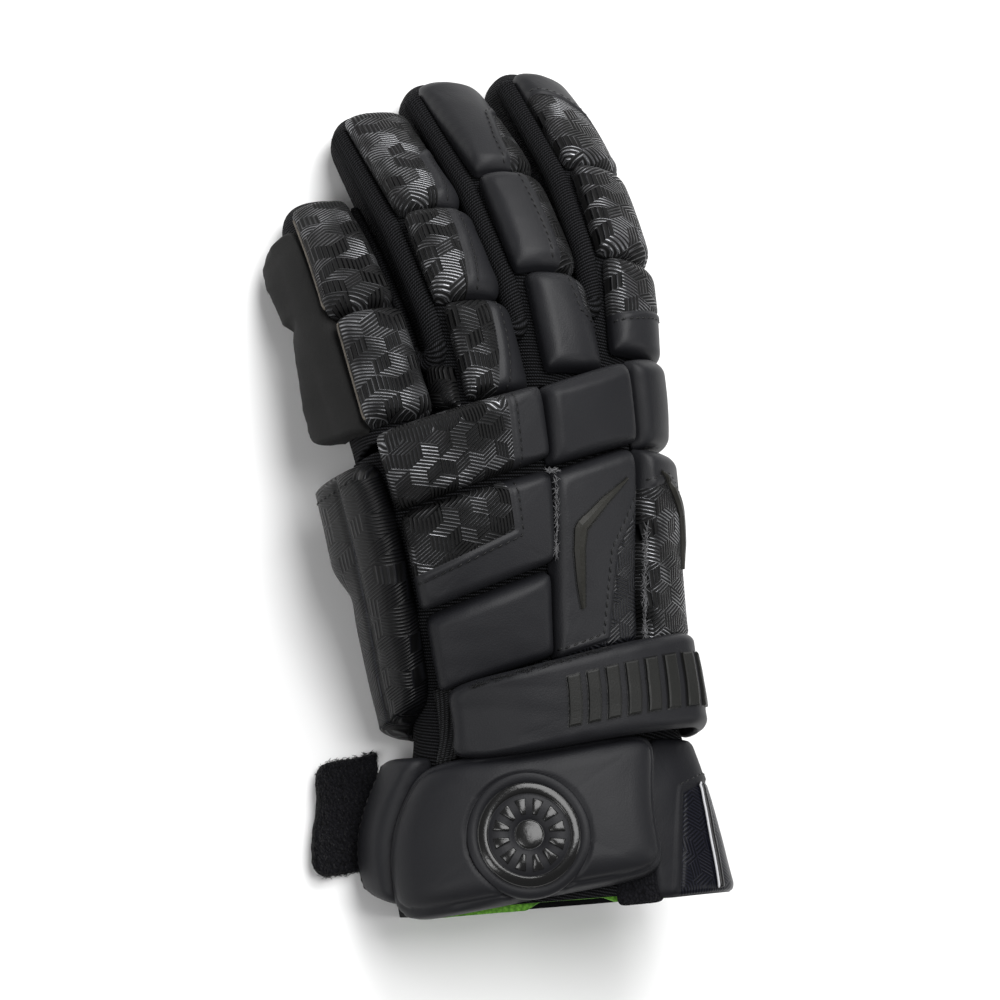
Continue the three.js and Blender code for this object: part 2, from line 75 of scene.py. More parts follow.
HAND_KEYS = ("y", "x", "z", "w", "h", "skew", "roll")
HAND = np.array([
    (0, -0.18, 0.56, 0.96, 1, -1.2, -18),
    (0.165, -0.14, 0.53, 0.94, 0.965, -0.9, -18),
    (0.363, 0, 0.56, 0.81, 0.965, -0.4, -9),
    (0.56, 0.015, 0.67, 0.84, 0.965, 0.34, -3),
    (0.78, 0.03, 0.855, 0.92, 0.965, 0.68, 0),
    (1, 0.05, 0.99, 1, 0.985, 1, 0),
])
FINGERS = {
    "little": dict(x=-0.659, z=0.89, turn=-2.5, roll=-12, height=0.97,
                   bones=(0.299, 0.214, 0.253), slope=(-13, -23, -29)),
    "ring": dict(x=-0.167, z=1.009, turn=-4, roll=-4, height=1.0,
                 bones=(0.247, 0.26, 0.454), slope=(-5, -19, -28)),
    "middle": dict(x=0.325, z=1.036, turn=-8, roll=5, height=1.0,
                   bones=(0.26, 0.292, 0.448), slope=(-6, -19, -27)),
    "index": dict(x=0.81, z=0.909, turn=-15, roll=15, height=0.97,
                  bones=(0.279, 0.26, 0.435), slope=(-2, -18, -27)),
    "thumb": dict(x=0.73, y=0.44, z=0.33, turn=-15, roll=40, height=0.75,
                  bones=(0.34, 0.34, 0.32), slope=(-4, -3, -6)),
}


# Surfaces that the pieces lie on

def hand_column(key, share):
    """Value of a column of the hand table, on a smooth curve through its rows."""
    k = HAND_KEYS.index(key)
    s = np.clip(share, 0, 1)
    ys = HAND[:, 0]
    vs = HAND[:, k]
    tangent = np.empty(len(ys))
    tangent[1:-1] = (vs[2:] - vs[:-2]) / (ys[2:] - ys[:-2])
    tangent[0] = (vs[1] - vs[0]) / (ys[1] - ys[0])
    tangent[-1] = (vs[-1] - vs[-2]) / (ys[-1] - ys[-2])
    i = np.clip(np.searchsorted(ys, s) - 1, 0, len(ys) - 2)
    step = ys[i + 1] - ys[i]
    u = (s - ys[i]) / step
    return ((2 * u ** 3 - 3 * u ** 2 + 1) * vs[i] + (u ** 3 - 2 * u ** 2 + u) * tangent[i] * step
            + (3 * u ** 2 - 2 * u ** 3) * vs[i + 1] + (u ** 3 - u ** 2) * tangent[i + 1] * step)


def rot_y(degrees):
    a = np.radians(degrees)
    return np.array([[math.cos(a), 0, math.sin(a)], [0, 1, 0], [-math.sin(a), 0, math.cos(a)]])


def rot_z(degrees):
    a = np.radians(degrees)
    return np.array([[math.cos(a), -math.sin(a), 0], [math.sin(a), math.cos(a), 0], [0, 0, 1]])


def smooth(s):
    c = np.clip(s, 0, 1)
    return c * c * (3 - 2 * c)


def unit(v):
    return v / np.maximum(np.linalg.norm(v, axis=-1, keepdims=True), 1e-9)


def reach_of(points):
    """Distance along a path up to each of its points."""
    return np.concatenate([[0], np.cumsum(np.linalg.norm(np.diff(points, axis=0), axis=1))])


def read_path(values, reach, s):
    """Rows of values read at distances s along their path."""
    return np.stack([np.interp(s, reach, column) for column in values.T], -1)


def hump(x, middle, width):
    return np.exp(-((x - middle) / width) ** 2)


def quarter(s):
    """Height of a quarter circle, from 0 at s = 0 to 1 at s = 1."""
    return np.sqrt(1 - (1 - np.clip(s, 0, 1)) ** 2)


def front_at(x):
    return HAND_LENGTH + FRONT_SKEW * (x - HAND[-1, 1] * HALF_WIDTH)


def hand_section(t):
    s = t / HAND_LENGTH
    turn = rot_y(float(hand_column("roll", s)))
    side = turn @ np.array([1.0, 0, 0])
    side[1] += float(hand_column("skew", s)) * FRONT_SKEW
    x, z, w, h = (float(hand_column(key, s)) for key in "xzwh")
    return (np.array([x * HALF_WIDTH, t, z * KNUCKLE_RISE]), side, turn @ np.array([0, 0, 1.0]),
            w * HALF_WIDTH, h * HALF_HEIGHT, HAND_POWER)


def finger_sections(finger, full_length, root_y, last):
    """Section function of a finger whose last bone has the slope last."""
    bones = [b * full_length for b in finger["bones"]]
    length = sum(bones)
    bend = TIP_ROUND * KNUCKLE_BEND
    slope = finger["slope"]
    place = rot_z(finger["turn"]) @ rot_y(finger["roll"])

    def slope_at(t):
        return (slope[0] + (slope[1] - slope[0]) * smooth((t - bones[0] + bend) / (2 * bend))
                + (last - slope[1]) * smooth((t - bones[0] - bones[1] + bend) / (2 * bend)))

    steps = np.arange(0, length + 1.0)
    angles = np.radians(slope_at(steps + 0.5))
    along = np.stack([0 * angles, np.cos(angles), np.sin(angles)], 1) @ place.T
    root = np.array([finger["x"] * HALF_WIDTH, root_y, finger["z"] * KNUCKLE_RISE])
    path = np.concatenate([[root], root + np.cumsum(along, 0)])

    def section(t):
        i = int(min(max(math.floor(t), 0), len(along) - 1))
        middle = path[i] + along[i] * (t - i)
        a = math.radians(float(slope_at(t)))
        s = min(max(t / length, 0), 1)
        e = min(max((t - length + TIP_ROUND) / TIP_ROUND, 0), 1)
        round_off = max(1 - e ** TIP_POWER, 0.0001) ** (1 / TIP_POWER)
        root_h = FINGER_HEIGHT * finger["height"]
        return (middle, place @ np.array([1.0, 0, 0]), place @ np.array([0, -math.sin(a), math.cos(a)]),
                FINGER_WIDTH * round_off, (root_h + (TIP_HEIGHT - root_h) * s * s) * round_off,
                FINGER_POWER)

    return section, length


ANGLES = np.radians(np.linspace(90, -90, 181))


def half_rim(w, h, power, shares, inset=0.0):
    """Points of half a section at shares of its girth, from the back to the palm."""
    w = max(w - inset, 0.2)
    h = max(h - inset, 0.2)
    c = np.abs(np.cos(ANGLES)) ** (2 / power) * w
    s = np.sign(np.sin(ANGLES)) * np.abs(np.sin(ANGLES)) ** (2 / power) * h
    reach = reach_of(np.stack([c, s], 1))
    want = shares * reach[-1]
    return np.interp(want, reach, c), np.interp(want, reach, s), reach[-1]


def ring(section, q, inset=0.0):
    """Points round a section at q, shares of half its girth, and the length of that half."""
    middle, side, up, w, h, power = section
    x, z, girth = half_rim(w, h, power, np.abs(q), inset)
    return middle + np.outer(np.sign(q) * x, side) + np.outer(z, up), girth


Q_END, Q_COUNT = 1.6, 641  # columns of a net, which overlap past the middle of the palm


class Surface:
    """A dense net over a limb, read at q (shares of half its girth) and t (mm along it)."""

    def __init__(self, section, length, start=-14.0, over=0.0, step=0.5):
        self.section = section
        self.length = length
        self.ts = np.arange(start, length + over + step / 2, step)
        self.qs = np.linspace(-Q_END, Q_END, Q_COUNT)
        wrapped = np.where(np.abs(self.qs) > 1, self.qs - 2 * np.sign(self.qs), self.qs)
        net = np.empty((len(self.ts), len(self.qs), 3))
        girth = np.empty(len(self.ts))
        for k, t in enumerate(self.ts):
            net[k], girth[k] = ring(section(t), wrapped)
        self.net = net
        self.normal = unit(np.cross(np.gradient(net, axis=1), np.gradient(net, axis=0)))
        self.girth = girth

    def read(self, grid, q, t):
        fq = np.clip((q - self.qs[0]) / (self.qs[1] - self.qs[0]), 0, len(self.qs) - 1.001)
        ft = np.clip((t - self.ts[0]) / (self.ts[1] - self.ts[0]), 0, len(self.ts) - 1.001)
        i = fq.astype(int)
        k = ft.astype(int)
        u = (fq - i)[..., None]
        v = (ft - k)[..., None]
        return ((grid[k, i] * (1 - u) + grid[k, i + 1] * u) * (1 - v)
                + (grid[k + 1, i] * (1 - u) + grid[k + 1, i + 1] * u) * v)

    def at(self, q, t, lift=0.0):
        q, t = np.broadcast_arrays(np.asarray(q, float), np.asarray(t, float))
        normal = unit(self.read(self.normal, q, t))
        return self.read(self.net, q, t) + normal * np.asarray(lift)[..., None], normal

    def half_girth(self, t):
        return float(np.interp(t, self.ts, self.girth))


def lowest(section, length):
    """Height of the lowest place on the palm side of a finger's last third."""
    shares = np.linspace(0.7, 1, 7)
    q = np.concatenate([-shares, shares])
    return min(ring(section(t), q)[0][:, 2].min() for t in np.arange(length * 0.7, length, 1.0))


SURFACES = {"hand": Surface(hand_section, HAND_LENGTH, start=-20, over=16)}
for finger_name, finger in FINGERS.items():
    if finger_name == "thumb":
        SURFACES["thumb"] = Surface(*finger_sections(finger, THUMB_LENGTH, finger["y"] * HAND_LENGTH,
                                                     finger["slope"][2]))
        continue
    root_y = front_at(finger["x"] * HALF_WIDTH)
    steep, flat = finger["slope"][2] - 12, finger["slope"][2] + 12
    for _ in range(12):
        trial = (steep + flat) / 2
        if lowest(*finger_sections(finger, FINGER_LENGTH, root_y, trial)) > TIP_CLEAR:
            flat = trial
        else:
            steep = trial
    SURFACES[finger_name] = Surface(*finger_sections(finger, FINGER_LENGTH, root_y, flat))

# The model's own frame is shifted so that its origin is the middle of the ground it covers; the rows
# are those from the mouth to the front
NET = SURFACES["hand"].net[40:405]
LINER_BOX = [np.array(v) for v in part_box("hand_liner")]
SHIFT = np.array([(LINER_BOX[0][0] + LINER_BOX[1][0]) / 2 / MM - (NET[..., 0].min() + NET[..., 0].max()) / 2,
                  LINER_BOX[0][1] / MM - NET[..., 1].min(), 0.0])


# Node helpers

class Nodes:
    """Short names for building a material's node tree."""

    def __init__(self, name, color, rough, specular=0.3):
        self.mat = bpy.data.materials.new(name)
        self.mat.use_nodes = True
        self.tree = self.mat.node_tree
        self.bsdf = self.tree.nodes["Principled BSDF"]
        self.bsdf.inputs["Base Color"].default_value = (*color, 1)
        self.bsdf.inputs["Roughness"].default_value = rough
        self.bsdf.inputs["Specular IOR Level"].default_value = specular
        self.coords = self.new("ShaderNodeTexCoord").outputs

    def new(self, kind, **settings):
        node = self.tree.nodes.new(kind)
        for key, value in settings.items():
            setattr(node, key, value)
        return node

    def put(self, socket, value):
        if isinstance(value, bpy.types.NodeSocket):
            self.tree.links.new(value, socket)
        else:
            socket.default_value = value

    def math(self, op, a, b=0.0, c=0.0):
        node = self.new("ShaderNodeMath", operation=op)
        for socket, value in zip(node.inputs, (a, b, c)):
            self.put(socket, value)
        return node.outputs[0]

    def add(self, a, b):
        return self.math("ADD", a, b)

    def sub(self, a, b):
        return self.math("SUBTRACT", a, b)

    def mul(self, a, b):
        return self.math("MULTIPLY", a, b)

    def mul_add(self, a, b, c):
        return self.math("MULTIPLY_ADD", a, b, c)

    def wave(self, a):
        """The size of a sine, whatever its sign."""
        return self.math("ABSOLUTE", self.math("SINE", a))

    def vec(self, op, a, b=(0, 0, 0)):
        node = self.new("ShaderNodeVectorMath", operation=op)
        self.put(node.inputs[0], a)
        self.put(node.inputs[1], b)
        return node.outputs["Value"] if op in ("DOT_PRODUCT", "LENGTH") else node.outputs["Vector"]

    def scale(self, a, k):
        node = self.new("ShaderNodeVectorMath", operation="SCALE")
        self.put(node.inputs[0], a)
        node.inputs["Scale"].default_value = k
        return node.outputs["Vector"]

    def xyz(self, a):
        node = self.new("ShaderNodeSeparateXYZ")
        self.put(node.inputs[0], a)
        return node.outputs

    def attr(self, name):
        return self.new("ShaderNodeAttribute", attribute_name=name).outputs["Fac"]

    def noise(self, scale, detail=2.0):
        node = self.new("ShaderNodeTexNoise")
        self.put(node.inputs["Vector"], self.coords["Object"])
        node.inputs["Scale"].default_value = scale
        node.inputs["Detail"].default_value = detail
        return node.outputs["Fac"]

    def cells(self, scale):
        node = self.new("ShaderNodeTexVoronoi")
        self.put(node.inputs["Vector"], self.coords["Object"])
        node.inputs["Scale"].default_value = scale
        return node.outputs["Distance"]

    def step(self, value, low, high, to_low=0.0, to_high=1.0):
        node = self.new("ShaderNodeMapRange", interpolation_type="SMOOTHSTEP", clamp=True)
        for key, v in (("Value", value), ("From Min", low), ("From Max", high), ("To Min", to_low),
                       ("To Max", to_high)):
            self.put(node.inputs[key], v)
        return node.outputs[0]

    def mix(self, fac, a, b):
        node = self.new("ShaderNodeMix", data_type="FLOAT")
        for key, v in (("Factor", fac), ("A", a), ("B", b)):
            self.put(node.inputs[key], v)
        return node.outputs[0]

    def colors(self, fac, a, b):
        node = self.new("ShaderNodeMix", data_type="RGBA")
        sockets = [s for s in node.inputs if s.type == "RGBA"]
        self.put(node.inputs[0], fac)
        for socket, v in zip(sockets, (a, b)):
            self.put(socket, v if isinstance(v, bpy.types.NodeSocket) else (*v, 1))
        return [s for s in node.outputs if s.type == "RGBA"][0]

    def bump(self, height, distance):
        node = self.new("ShaderNodeBump")
        self.put(node.inputs["Height"], height)
        node.inputs["Distance"].default_value = distance
        node.inputs["Strength"].default_value = 1.0
        return node.outputs["Normal"]

    def out(self, color=None, rough=None, normal=None):
        for key, value in (("Base Color", color), ("Roughness", rough), ("Normal", normal)):
            if value is not None:
                self.put(self.bsdf.inputs[key], value)
        return self.mat


def maze(n, side, lines):
    """Rhombi of parallel grooves, their side in millimetres: height 0 to 1, and a painted highlight for each
    way that the grooves can run."""
    root3 = math.sqrt(3.0)
    third = 2 * math.pi / 3
    r = (1.0, root3, 1.0)
    h = (0.5, root3 / 2, 0.0)
    p = n.vec("ADD", n.scale(n.coords["UV"], 1.0 / (side * root3 * MM)), (200.0, 200.0 * root3, 0.0))
    a = n.vec("SUBTRACT", n.vec("MODULO", p, r), h)
    b = n.vec("SUBTRACT", n.vec("MODULO", n.vec("ADD", p, h), r), h)
    nearer = n.math("LESS_THAN", n.vec("DOT_PRODUCT", a, a), n.vec("DOT_PRODUCT", b, b))
    pick = n.new("ShaderNodeMix", data_type="VECTOR")
    by_name = {s.identifier: s for s in [*pick.inputs, *pick.outputs]}
    for key, value in (("Factor_Float", nearer), ("A_Vector", b), ("B_Vector", a)):
        n.put(by_name[key], value)
    g = by_name["Result_Vector"]
    x, y, _ = n.xyz(g)
    turn = n.add(n.math("ARCTAN2", y, x), math.pi * (1 + 1 / 6))
    sector = n.math("MODULO", n.math("FLOOR", n.math("DIVIDE", turn, third)), 3.0)
    # each rhombus draws by its own number which of its two edges the grooves follow
    cx, cy, _ = n.xyz(n.vec("SUBTRACT", p, g))
    joined = n.new("ShaderNodeCombineXYZ")
    for k, value in enumerate((n.math("ROUND", n.mul(cx, 2.0)), n.math("ROUND", n.mul(cy, 2 / root3)),
                               sector)):
        n.put(joined.inputs[k], value)
    seed = n.new("ShaderNodeTexWhiteNoise", noise_dimensions="3D")
    n.put(seed.inputs["Vector"], joined.outputs[0])
    other = n.math("GREATER_THAN", seed.outputs["Value"], 0.5)
    axis = n.mul_add(sector, third, math.pi * 7 / 6)
    cos, sin = n.math("COSINE", axis), n.math("SINE", axis)
    out = n.add(n.mul(x, cos), n.mul(y, sin))
    off = n.math("DIVIDE", n.sub(n.mul(y, cos), n.mul(x, sin)), root3)
    across = n.mix(other, n.mul(n.add(out, off), root3), n.mul(n.sub(out, off), root3))
    saw = n.math("ABSOLUTE", n.sub(n.math("FRACT", n.mul(across, float(lines))), 0.5))
    # painted highlight: each way of the grooves gets its own brightness, as if the light caught the ridges
    # of one way more than the others
    way = n.mul_add(sector, third, n.mul(other, third))
    painted_glint = n.mul_add(n.math("COSINE", n.mul_add(way, 2.0, -0.6)), 0.5, 0.5)
    return n.step(saw, 0.14, 0.50), painted_glint


PALE_LINE = 10.4  # mm from the bolster's crease out to the pale line beside its outer edge
KNIT_ROW, KNIT_LEAN = 1.25, 0.3  # mm from row to row, and how far a row climbs per mm across
WALE, WALE_DRIFT = 0.8, 2.1  # mm from stitch to stitch across the knit and along it
WEAVE = (1.6, 0.9)  # mm from thread to thread of the webbing
CHARCOAL = (0.0085, 0.0086, 0.0099)
LIGHT_GRAIN, DARK_GRAIN = (0.0100, 0.0102, 0.0124), (0.0069, 0.0071, 0.0087)

# Materials with two tones at most: key, name, colour, roughness and specular, then the tones as
# (scale of their clouds, dark, light), then the scale of the relief and its height in metres
SIMPLE = (
    ("inside", "hidden_lining", (0.004, 0.004, 0.0045), 0.9, 0.1, None, 1500.0, 0.0002),
    ("bars", "raised_bars", (0.0100, 0.0098, 0.0080), 0.45, 0.2,
     (50.0, (0.0130, 0.0126, 0.0104), (0.0185, 0.0180, 0.0150)), 900.0, 0.00008),
    ("relief", "relief_rubber", (0.0075, 0.0077, 0.0068), 0.5, 0.25,
     (60.0, (0.0070, 0.0072, 0.0064), (0.0100, 0.0102, 0.0092)), 1500.0, 0.00008),
    ("thread", "thread", (0.0030, 0.0030, 0.0033), 0.5, 0.3, None, 3000.0, 0.0001),
    ("binding", "tan_binding", (0.12, 0.10, 0.08), 0.7, 0.3,
     (400.0, (0.02, 0.018, 0.016), (0.16, 0.14, 0.115)), 1500.0, 0.0002),
    ("fray", "frayed_edge", (0.13, 0.13, 0.135), 0.9, 0.3,
     (900.0, (0.02, 0.02, 0.021), (0.27, 0.27, 0.28)), 2000.0, 0.0004),
    ("gloss_bars", "gloss_bars", (0.0040, 0.0040, 0.0040), 0.2, 0.5, None, 700.0, 0.00005),
    ("pale", "pale_piping", (0.50, 0.50, 0.52), 0.6, 0.3, None, 1200.0, 0.0001),
    ("piping", "black_piping", (0.004, 0.004, 0.0045), 0.35, 0.3, None, 900.0, 0.0001),
)


def grain(n):
    """Height of the grain of smooth leather."""
    return n.add(n.mul(n.cells(1500.0), 0.35), n.noise(130.0, 3.0))


def dull(n):
    """Colour, roughness and height of plain leather."""
    return (n.colors(n.noise(26.0, 3.0), DARK_GRAIN, LIGHT_GRAIN), n.mix(n.noise(60.0), 0.47, 0.56),
            grain(n))


def seamed(n, line, lined, gloss, relief, height, metal=False):
    """Lined leather inside the seam of a piece, and dull leather past it."""
    plain = n.step(n.attr("seam"), -0.15, 0.15)
    color, rough, rise = dull(n)
    if metal:
        n.put(n.bsdf.inputs["Metallic"], n.mul(line, n.sub(1.0, plain)))
    return n.out(n.colors(plain, lined, color), n.mix(plain, gloss, rough),
                 n.bump(n.mix(plain, n.mul(line, relief), rise), height))


def make_materials():
    mats = {}
    for key, name, color, rough, specular, tones, scale, height in SIMPLE:
        n = Nodes(name, color, rough, specular)
        toned = tones and n.colors(n.noise(tones[0], 3.0), *tones[1:])
        mats[key] = n.out(toned, None, n.bump(n.noise(scale), height))

    n = Nodes("smooth_leather", CHARCOAL, 0.45, 0.22)
    color, rough, rise = dull(n)
    mats["smooth"] = n.out(color, rough, n.bump(rise, 0.00010))

    n = Nodes("two_tone_leather", CHARCOAL, 0.4, 0.28)
    line, painted_glint = maze(n, 5.6, 4)
    # the ridges are metal whose colour is that painted highlight, strong for one way of the grooves and weak
    # for the others, and noise breaks it into broad painted patches; the grooves stay near black
    ridge = n.colors(n.math("POWER", painted_glint, 2.0), (0.0260, 0.0263, 0.0280), (0.3200, 0.3240, 0.3400))
    patchy_glint = n.mul(line, n.step(n.noise(55.0, 3.0), 0.36, 0.62, 0.15, 1.0))
    mats["two_tone"] = seamed(n, line, n.colors(patchy_glint, (0.0004, 0.0004, 0.0005), ridge),
                              n.mix(line, 0.8, n.mix(n.noise(90.0, 3.0), 0.12, 0.24)), 3.2, 0.00010, True)

    n = Nodes("printed_leather", CHARCOAL, 0.42, 0.3)
    line, _ = maze(n, 5.6, 4)
    lined = n.colors(line, (0.0008, 0.0009, 0.0013), (0.0105, 0.0110, 0.0145))
    mats["printed"] = seamed(n, line, lined, 0.36, 1.2, 0.00012)

    n = Nodes("flare_print", (0.004, 0.0045, 0.008), 0.36, 0.12)
    line, _ = maze(n, 5.4, 4)
    lined = n.colors(line, (0.0014, 0.0016, 0.0030), (0.0075, 0.0080, 0.0140))
    mats["flare"] = seamed(n, line, lined, 0.34, 0.6, 0.0001)

    n = Nodes("side_print", (0.0016, 0.0016, 0.0019), 0.4, 0.22)
    line, _ = maze(n, 6.6, 5)
    crease = n.attr("crease")
    # pale colour along a pale line beside the bolster's outer edge, and at a quarter of its strength along
    # the crease, where it is a painted highlight
    rim = n.step(n.math("ABSOLUTE", n.add(crease, PALE_LINE)), 0.12, 0.35, 1.0, 0.0)
    fold = n.step(n.math("ABSOLUTE", crease), 0.10, 0.5, 1.0, 0.0)
    pale = n.mul(n.math("MAXIMUM", rim, n.mul(fold, 0.25)), n.noise(300.0))
    ridge = n.colors(n.noise(30.0, 3.0), (0.0042, 0.0043, 0.0054), (0.0068, 0.0070, 0.0086))
    base = n.colors(line, (0.0002, 0.0002, 0.0003), ridge)
    mats["side_print"] = n.out(n.colors(pale, base, (0.05, 0.055, 0.085)), n.mix(line, 0.5, 0.34),
                               n.bump(n.mul(line, 2.2), 0.00014))

    n = Nodes("knit", (0.002, 0.0021, 0.0023), 0.85, 0.12)
    u, v, _ = n.xyz(n.coords["UV"])
    course = n.wave(n.mul(n.mul_add(u, KNIT_LEAN, v), math.pi / (KNIT_ROW * MM)))
    wale = n.wave(n.add(n.mul(u, math.pi / (WALE * MM)), n.mul(v, math.pi / (WALE_DRIFT * MM))))
    knit = n.mul(course, n.mul_add(wale, 0.45, 0.55))
    # the colour follows the knit's height: the tops of the loops are lighter, a painted highlight, and the
    # hollows between rows and stitches stay near black
    mats["knit"] = n.out(n.colors(n.math("POWER", knit, 3.0), (0.0002, 0.0002, 0.0003),
                                  (0.0300, 0.0306, 0.0345)), None, n.bump(knit, 0.0006))

    n = Nodes("matte_patch", (0.0150, 0.0148, 0.0135), 0.7, 0.15)
    mats["patch"] = n.out(n.colors(n.noise(40.0, 4.0), (0.0080, 0.0079, 0.0079), (0.0130, 0.0129, 0.0127)),
                          None, n.bump(n.add(n.cells(2600.0), n.noise(220.0, 3.0)), 0.00012))

    n = Nodes("palm_leather", (0.012, 0.012, 0.013), 0.62)
    mats["palm"] = n.out(None, None, n.bump(grain(n), 0.0002))

    n = Nodes("webbing", (0.006, 0.006, 0.0065), 0.7, 0.2)
    u, v, _ = n.xyz(n.coords["UV"])
    weave = n.mul(*(n.wave(n.mul(a, math.pi / (pitch * MM))) for a, pitch in zip((u, v), WEAVE)))
    mats["webbing"] = n.out(n.colors(n.math("POWER", weave, 1.6), (0.0005, 0.0005, 0.0006),
                                     (0.046, 0.047, 0.050)), None, n.bump(weave, 0.0006))

    n = Nodes("loop_fabric", (0.003, 0.003, 0.004), 0.95, 0.08)
    n.bsdf.inputs["Sheen Weight"].default_value = 0.04
    loops = n.cells(900.0)
    mats["loops"] = n.out(n.colors(loops, (0.0085, 0.0085, 0.0110), (0.0005, 0.0005, 0.0008)), None,
                          n.bump(n.add(loops, n.noise(500.0, 3.0)), 0.0009))

    n = Nodes("green_lining", (0.10, 0.30, 0.02), 0.8)
    mesh = n.cells(800.0)
    mats["lining"] = n.out(n.colors(mesh, (0.16, 0.42, 0.04), (0.04, 0.13, 0.01)), None,
                           n.bump(mesh, 0.0004))
    return mats


MATS = make_materials()
CREASE_AT = 5.4  # mm from the middle of a pad to its crease, towards the thumb


# Mesh helpers

def build(name, verts, faces, mats, replaces=(), uv=None, attrs=None, index=None, flat=False):
    """A mesh object in metres from points in millimetres, riding the one body."""
    mesh = bpy.data.meshes.new(name)
    mesh.from_pydata(((np.asarray(verts) + SHIFT) * MM).tolist(), [], [list(map(int, f)) for f in faces])
    for mat in mats:
        mesh.materials.append(MATS[mat])
    if uv is not None:
        layer = mesh.uv_layers.new(name="UVMap")
        loops = np.empty(len(mesh.loops), dtype=np.int64)
        mesh.loops.foreach_get("vertex_index", loops)
        layer.data.foreach_set("uv", (np.asarray(uv)[loops] * MM).ravel().astype(np.float32))
    for key, values in (attrs or {}).items():
        data = mesh.attributes.new(key, "FLOAT", "POINT")
        data.data.foreach_set("value", np.asarray(values, dtype=np.float32))
    if index is not None:
        mesh.polygons.foreach_set("material_index", np.asarray(index, dtype=np.int32))
    if not flat:
        mesh.polygons.foreach_set("use_smooth", np.ones(len(mesh.polygons), dtype=bool))
    mesh.validate()
    mesh.update()
    piece = bpy.data.objects.new(name, mesh)
    bpy.context.scene.collection.objects.link(piece)
    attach(piece, "root")
    if replaces:
        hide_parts(*replaces)
    return piece


def grid_faces(rows, cols, closed=False, start=0, flip=False):
    faces = []
    for j in range(rows - 1):
        for i in range(cols if closed else cols - 1):
            a = start + j * cols + i
            b = start + j * cols + (i + 1) % cols
            quad = (a, b, b + cols, a + cols)
            faces.append(quad[::-1] if flip else quad)
    return faces


def tube_faces(rows, around, start=0):
    """Faces of a closed tube with its two end caps."""
    last = start + (rows - 1) * around
    return grid_faces(rows, around, closed=True, start=start) + [
        tuple(start + i for i in range(around - 1, -1, -1)), tuple(last + i for i in range(around))]


def ring_faces(a, b, count, flip=False):
    """Faces between two closed rings of points that start at a and b."""
    pairs = [(i, (i + 1) % count) for i in range(count)]
    return [(a + j, a + i, b + i, b + j) if flip else (a + i, a + j, b + j, b + i) for i, j in pairs]


def fan_faces(a, tip, count, flip=False):
    """Faces between a closed ring of points that starts at a and one point."""
    pairs = [(i, (i + 1) % count) for i in range(count)]
    return [(a + j, a + i, tip) if flip else (a + i, a + j, tip) for i, j in pairs]


def polygon_distance(px, py, poly):
    """Signed distance to a polygon, negative inside, all in millimetres."""
    best = np.full(px.shape, 1e9)
    inside = np.zeros(px.shape, bool)
    m = len(poly)
    for k in range(m):
        ax, ay = poly[k]
        bx, by = poly[(k + 1) % m]
        dx, dy = bx - ax, by - ay
        u = np.clip(((px - ax) * dx + (py - ay) * dy) / max(dx * dx + dy * dy, 1e-9), 0, 1)
        best = np.minimum(best, np.hypot(px - ax - u * dx, py - ay - u * dy))
        cross = ((ay > py) != (by > py)) & (px < dx * (py - ay) / (by - ay + 1e-12) + ax)
        inside ^= cross
    return np.where(inside, -best, best)


def wobble(x, y, seed, size):
    """Smooth low relief made of a few seeded waves."""
    rng = np.random.default_rng(seed)
    total = np.zeros_like(x)
    for _ in range(7):
        a = rng.uniform(0, 2 * math.pi)
        k = 2 * math.pi / (size * rng.uniform(0.6, 1.6))
        total += np.sin((x * math.cos(a) + y * math.sin(a)) * k + rng.uniform(0, 6.28))
    return total / 7


MIN_CELLS = 12  # across a pad, however small
UNDER_STEP = 6  # cells of the top for one of the underside
SIDE_RINGS = ((-0.25, 0.6), (0.35, 0.22), (1.5, 0.0))  # mm inwards, and height as a share of the side
NO_SEAM = 10.0  # mm past a seam that isn't there
CROWN_AT = 0.6  # share of the crown that lies below the pad's own thickness
WAVES = (14.0, 6.0)  # mm, lengths of the broad puckers and of the fine ones near the edge
FOLD_FROM, FOLD_TO, FOLD_SOFT, FOLD_RISE = 0.2, 2.3, 0.9, 0.40  # mm, beside a seam
SEAM_HALF, SEAM_DIP = 0.8, 0.32  # mm, at a seam
PATH_STEP, PATH_END = 0.4, 0.97  # mm from place to place of a path, and where a pad's rim cuts it off


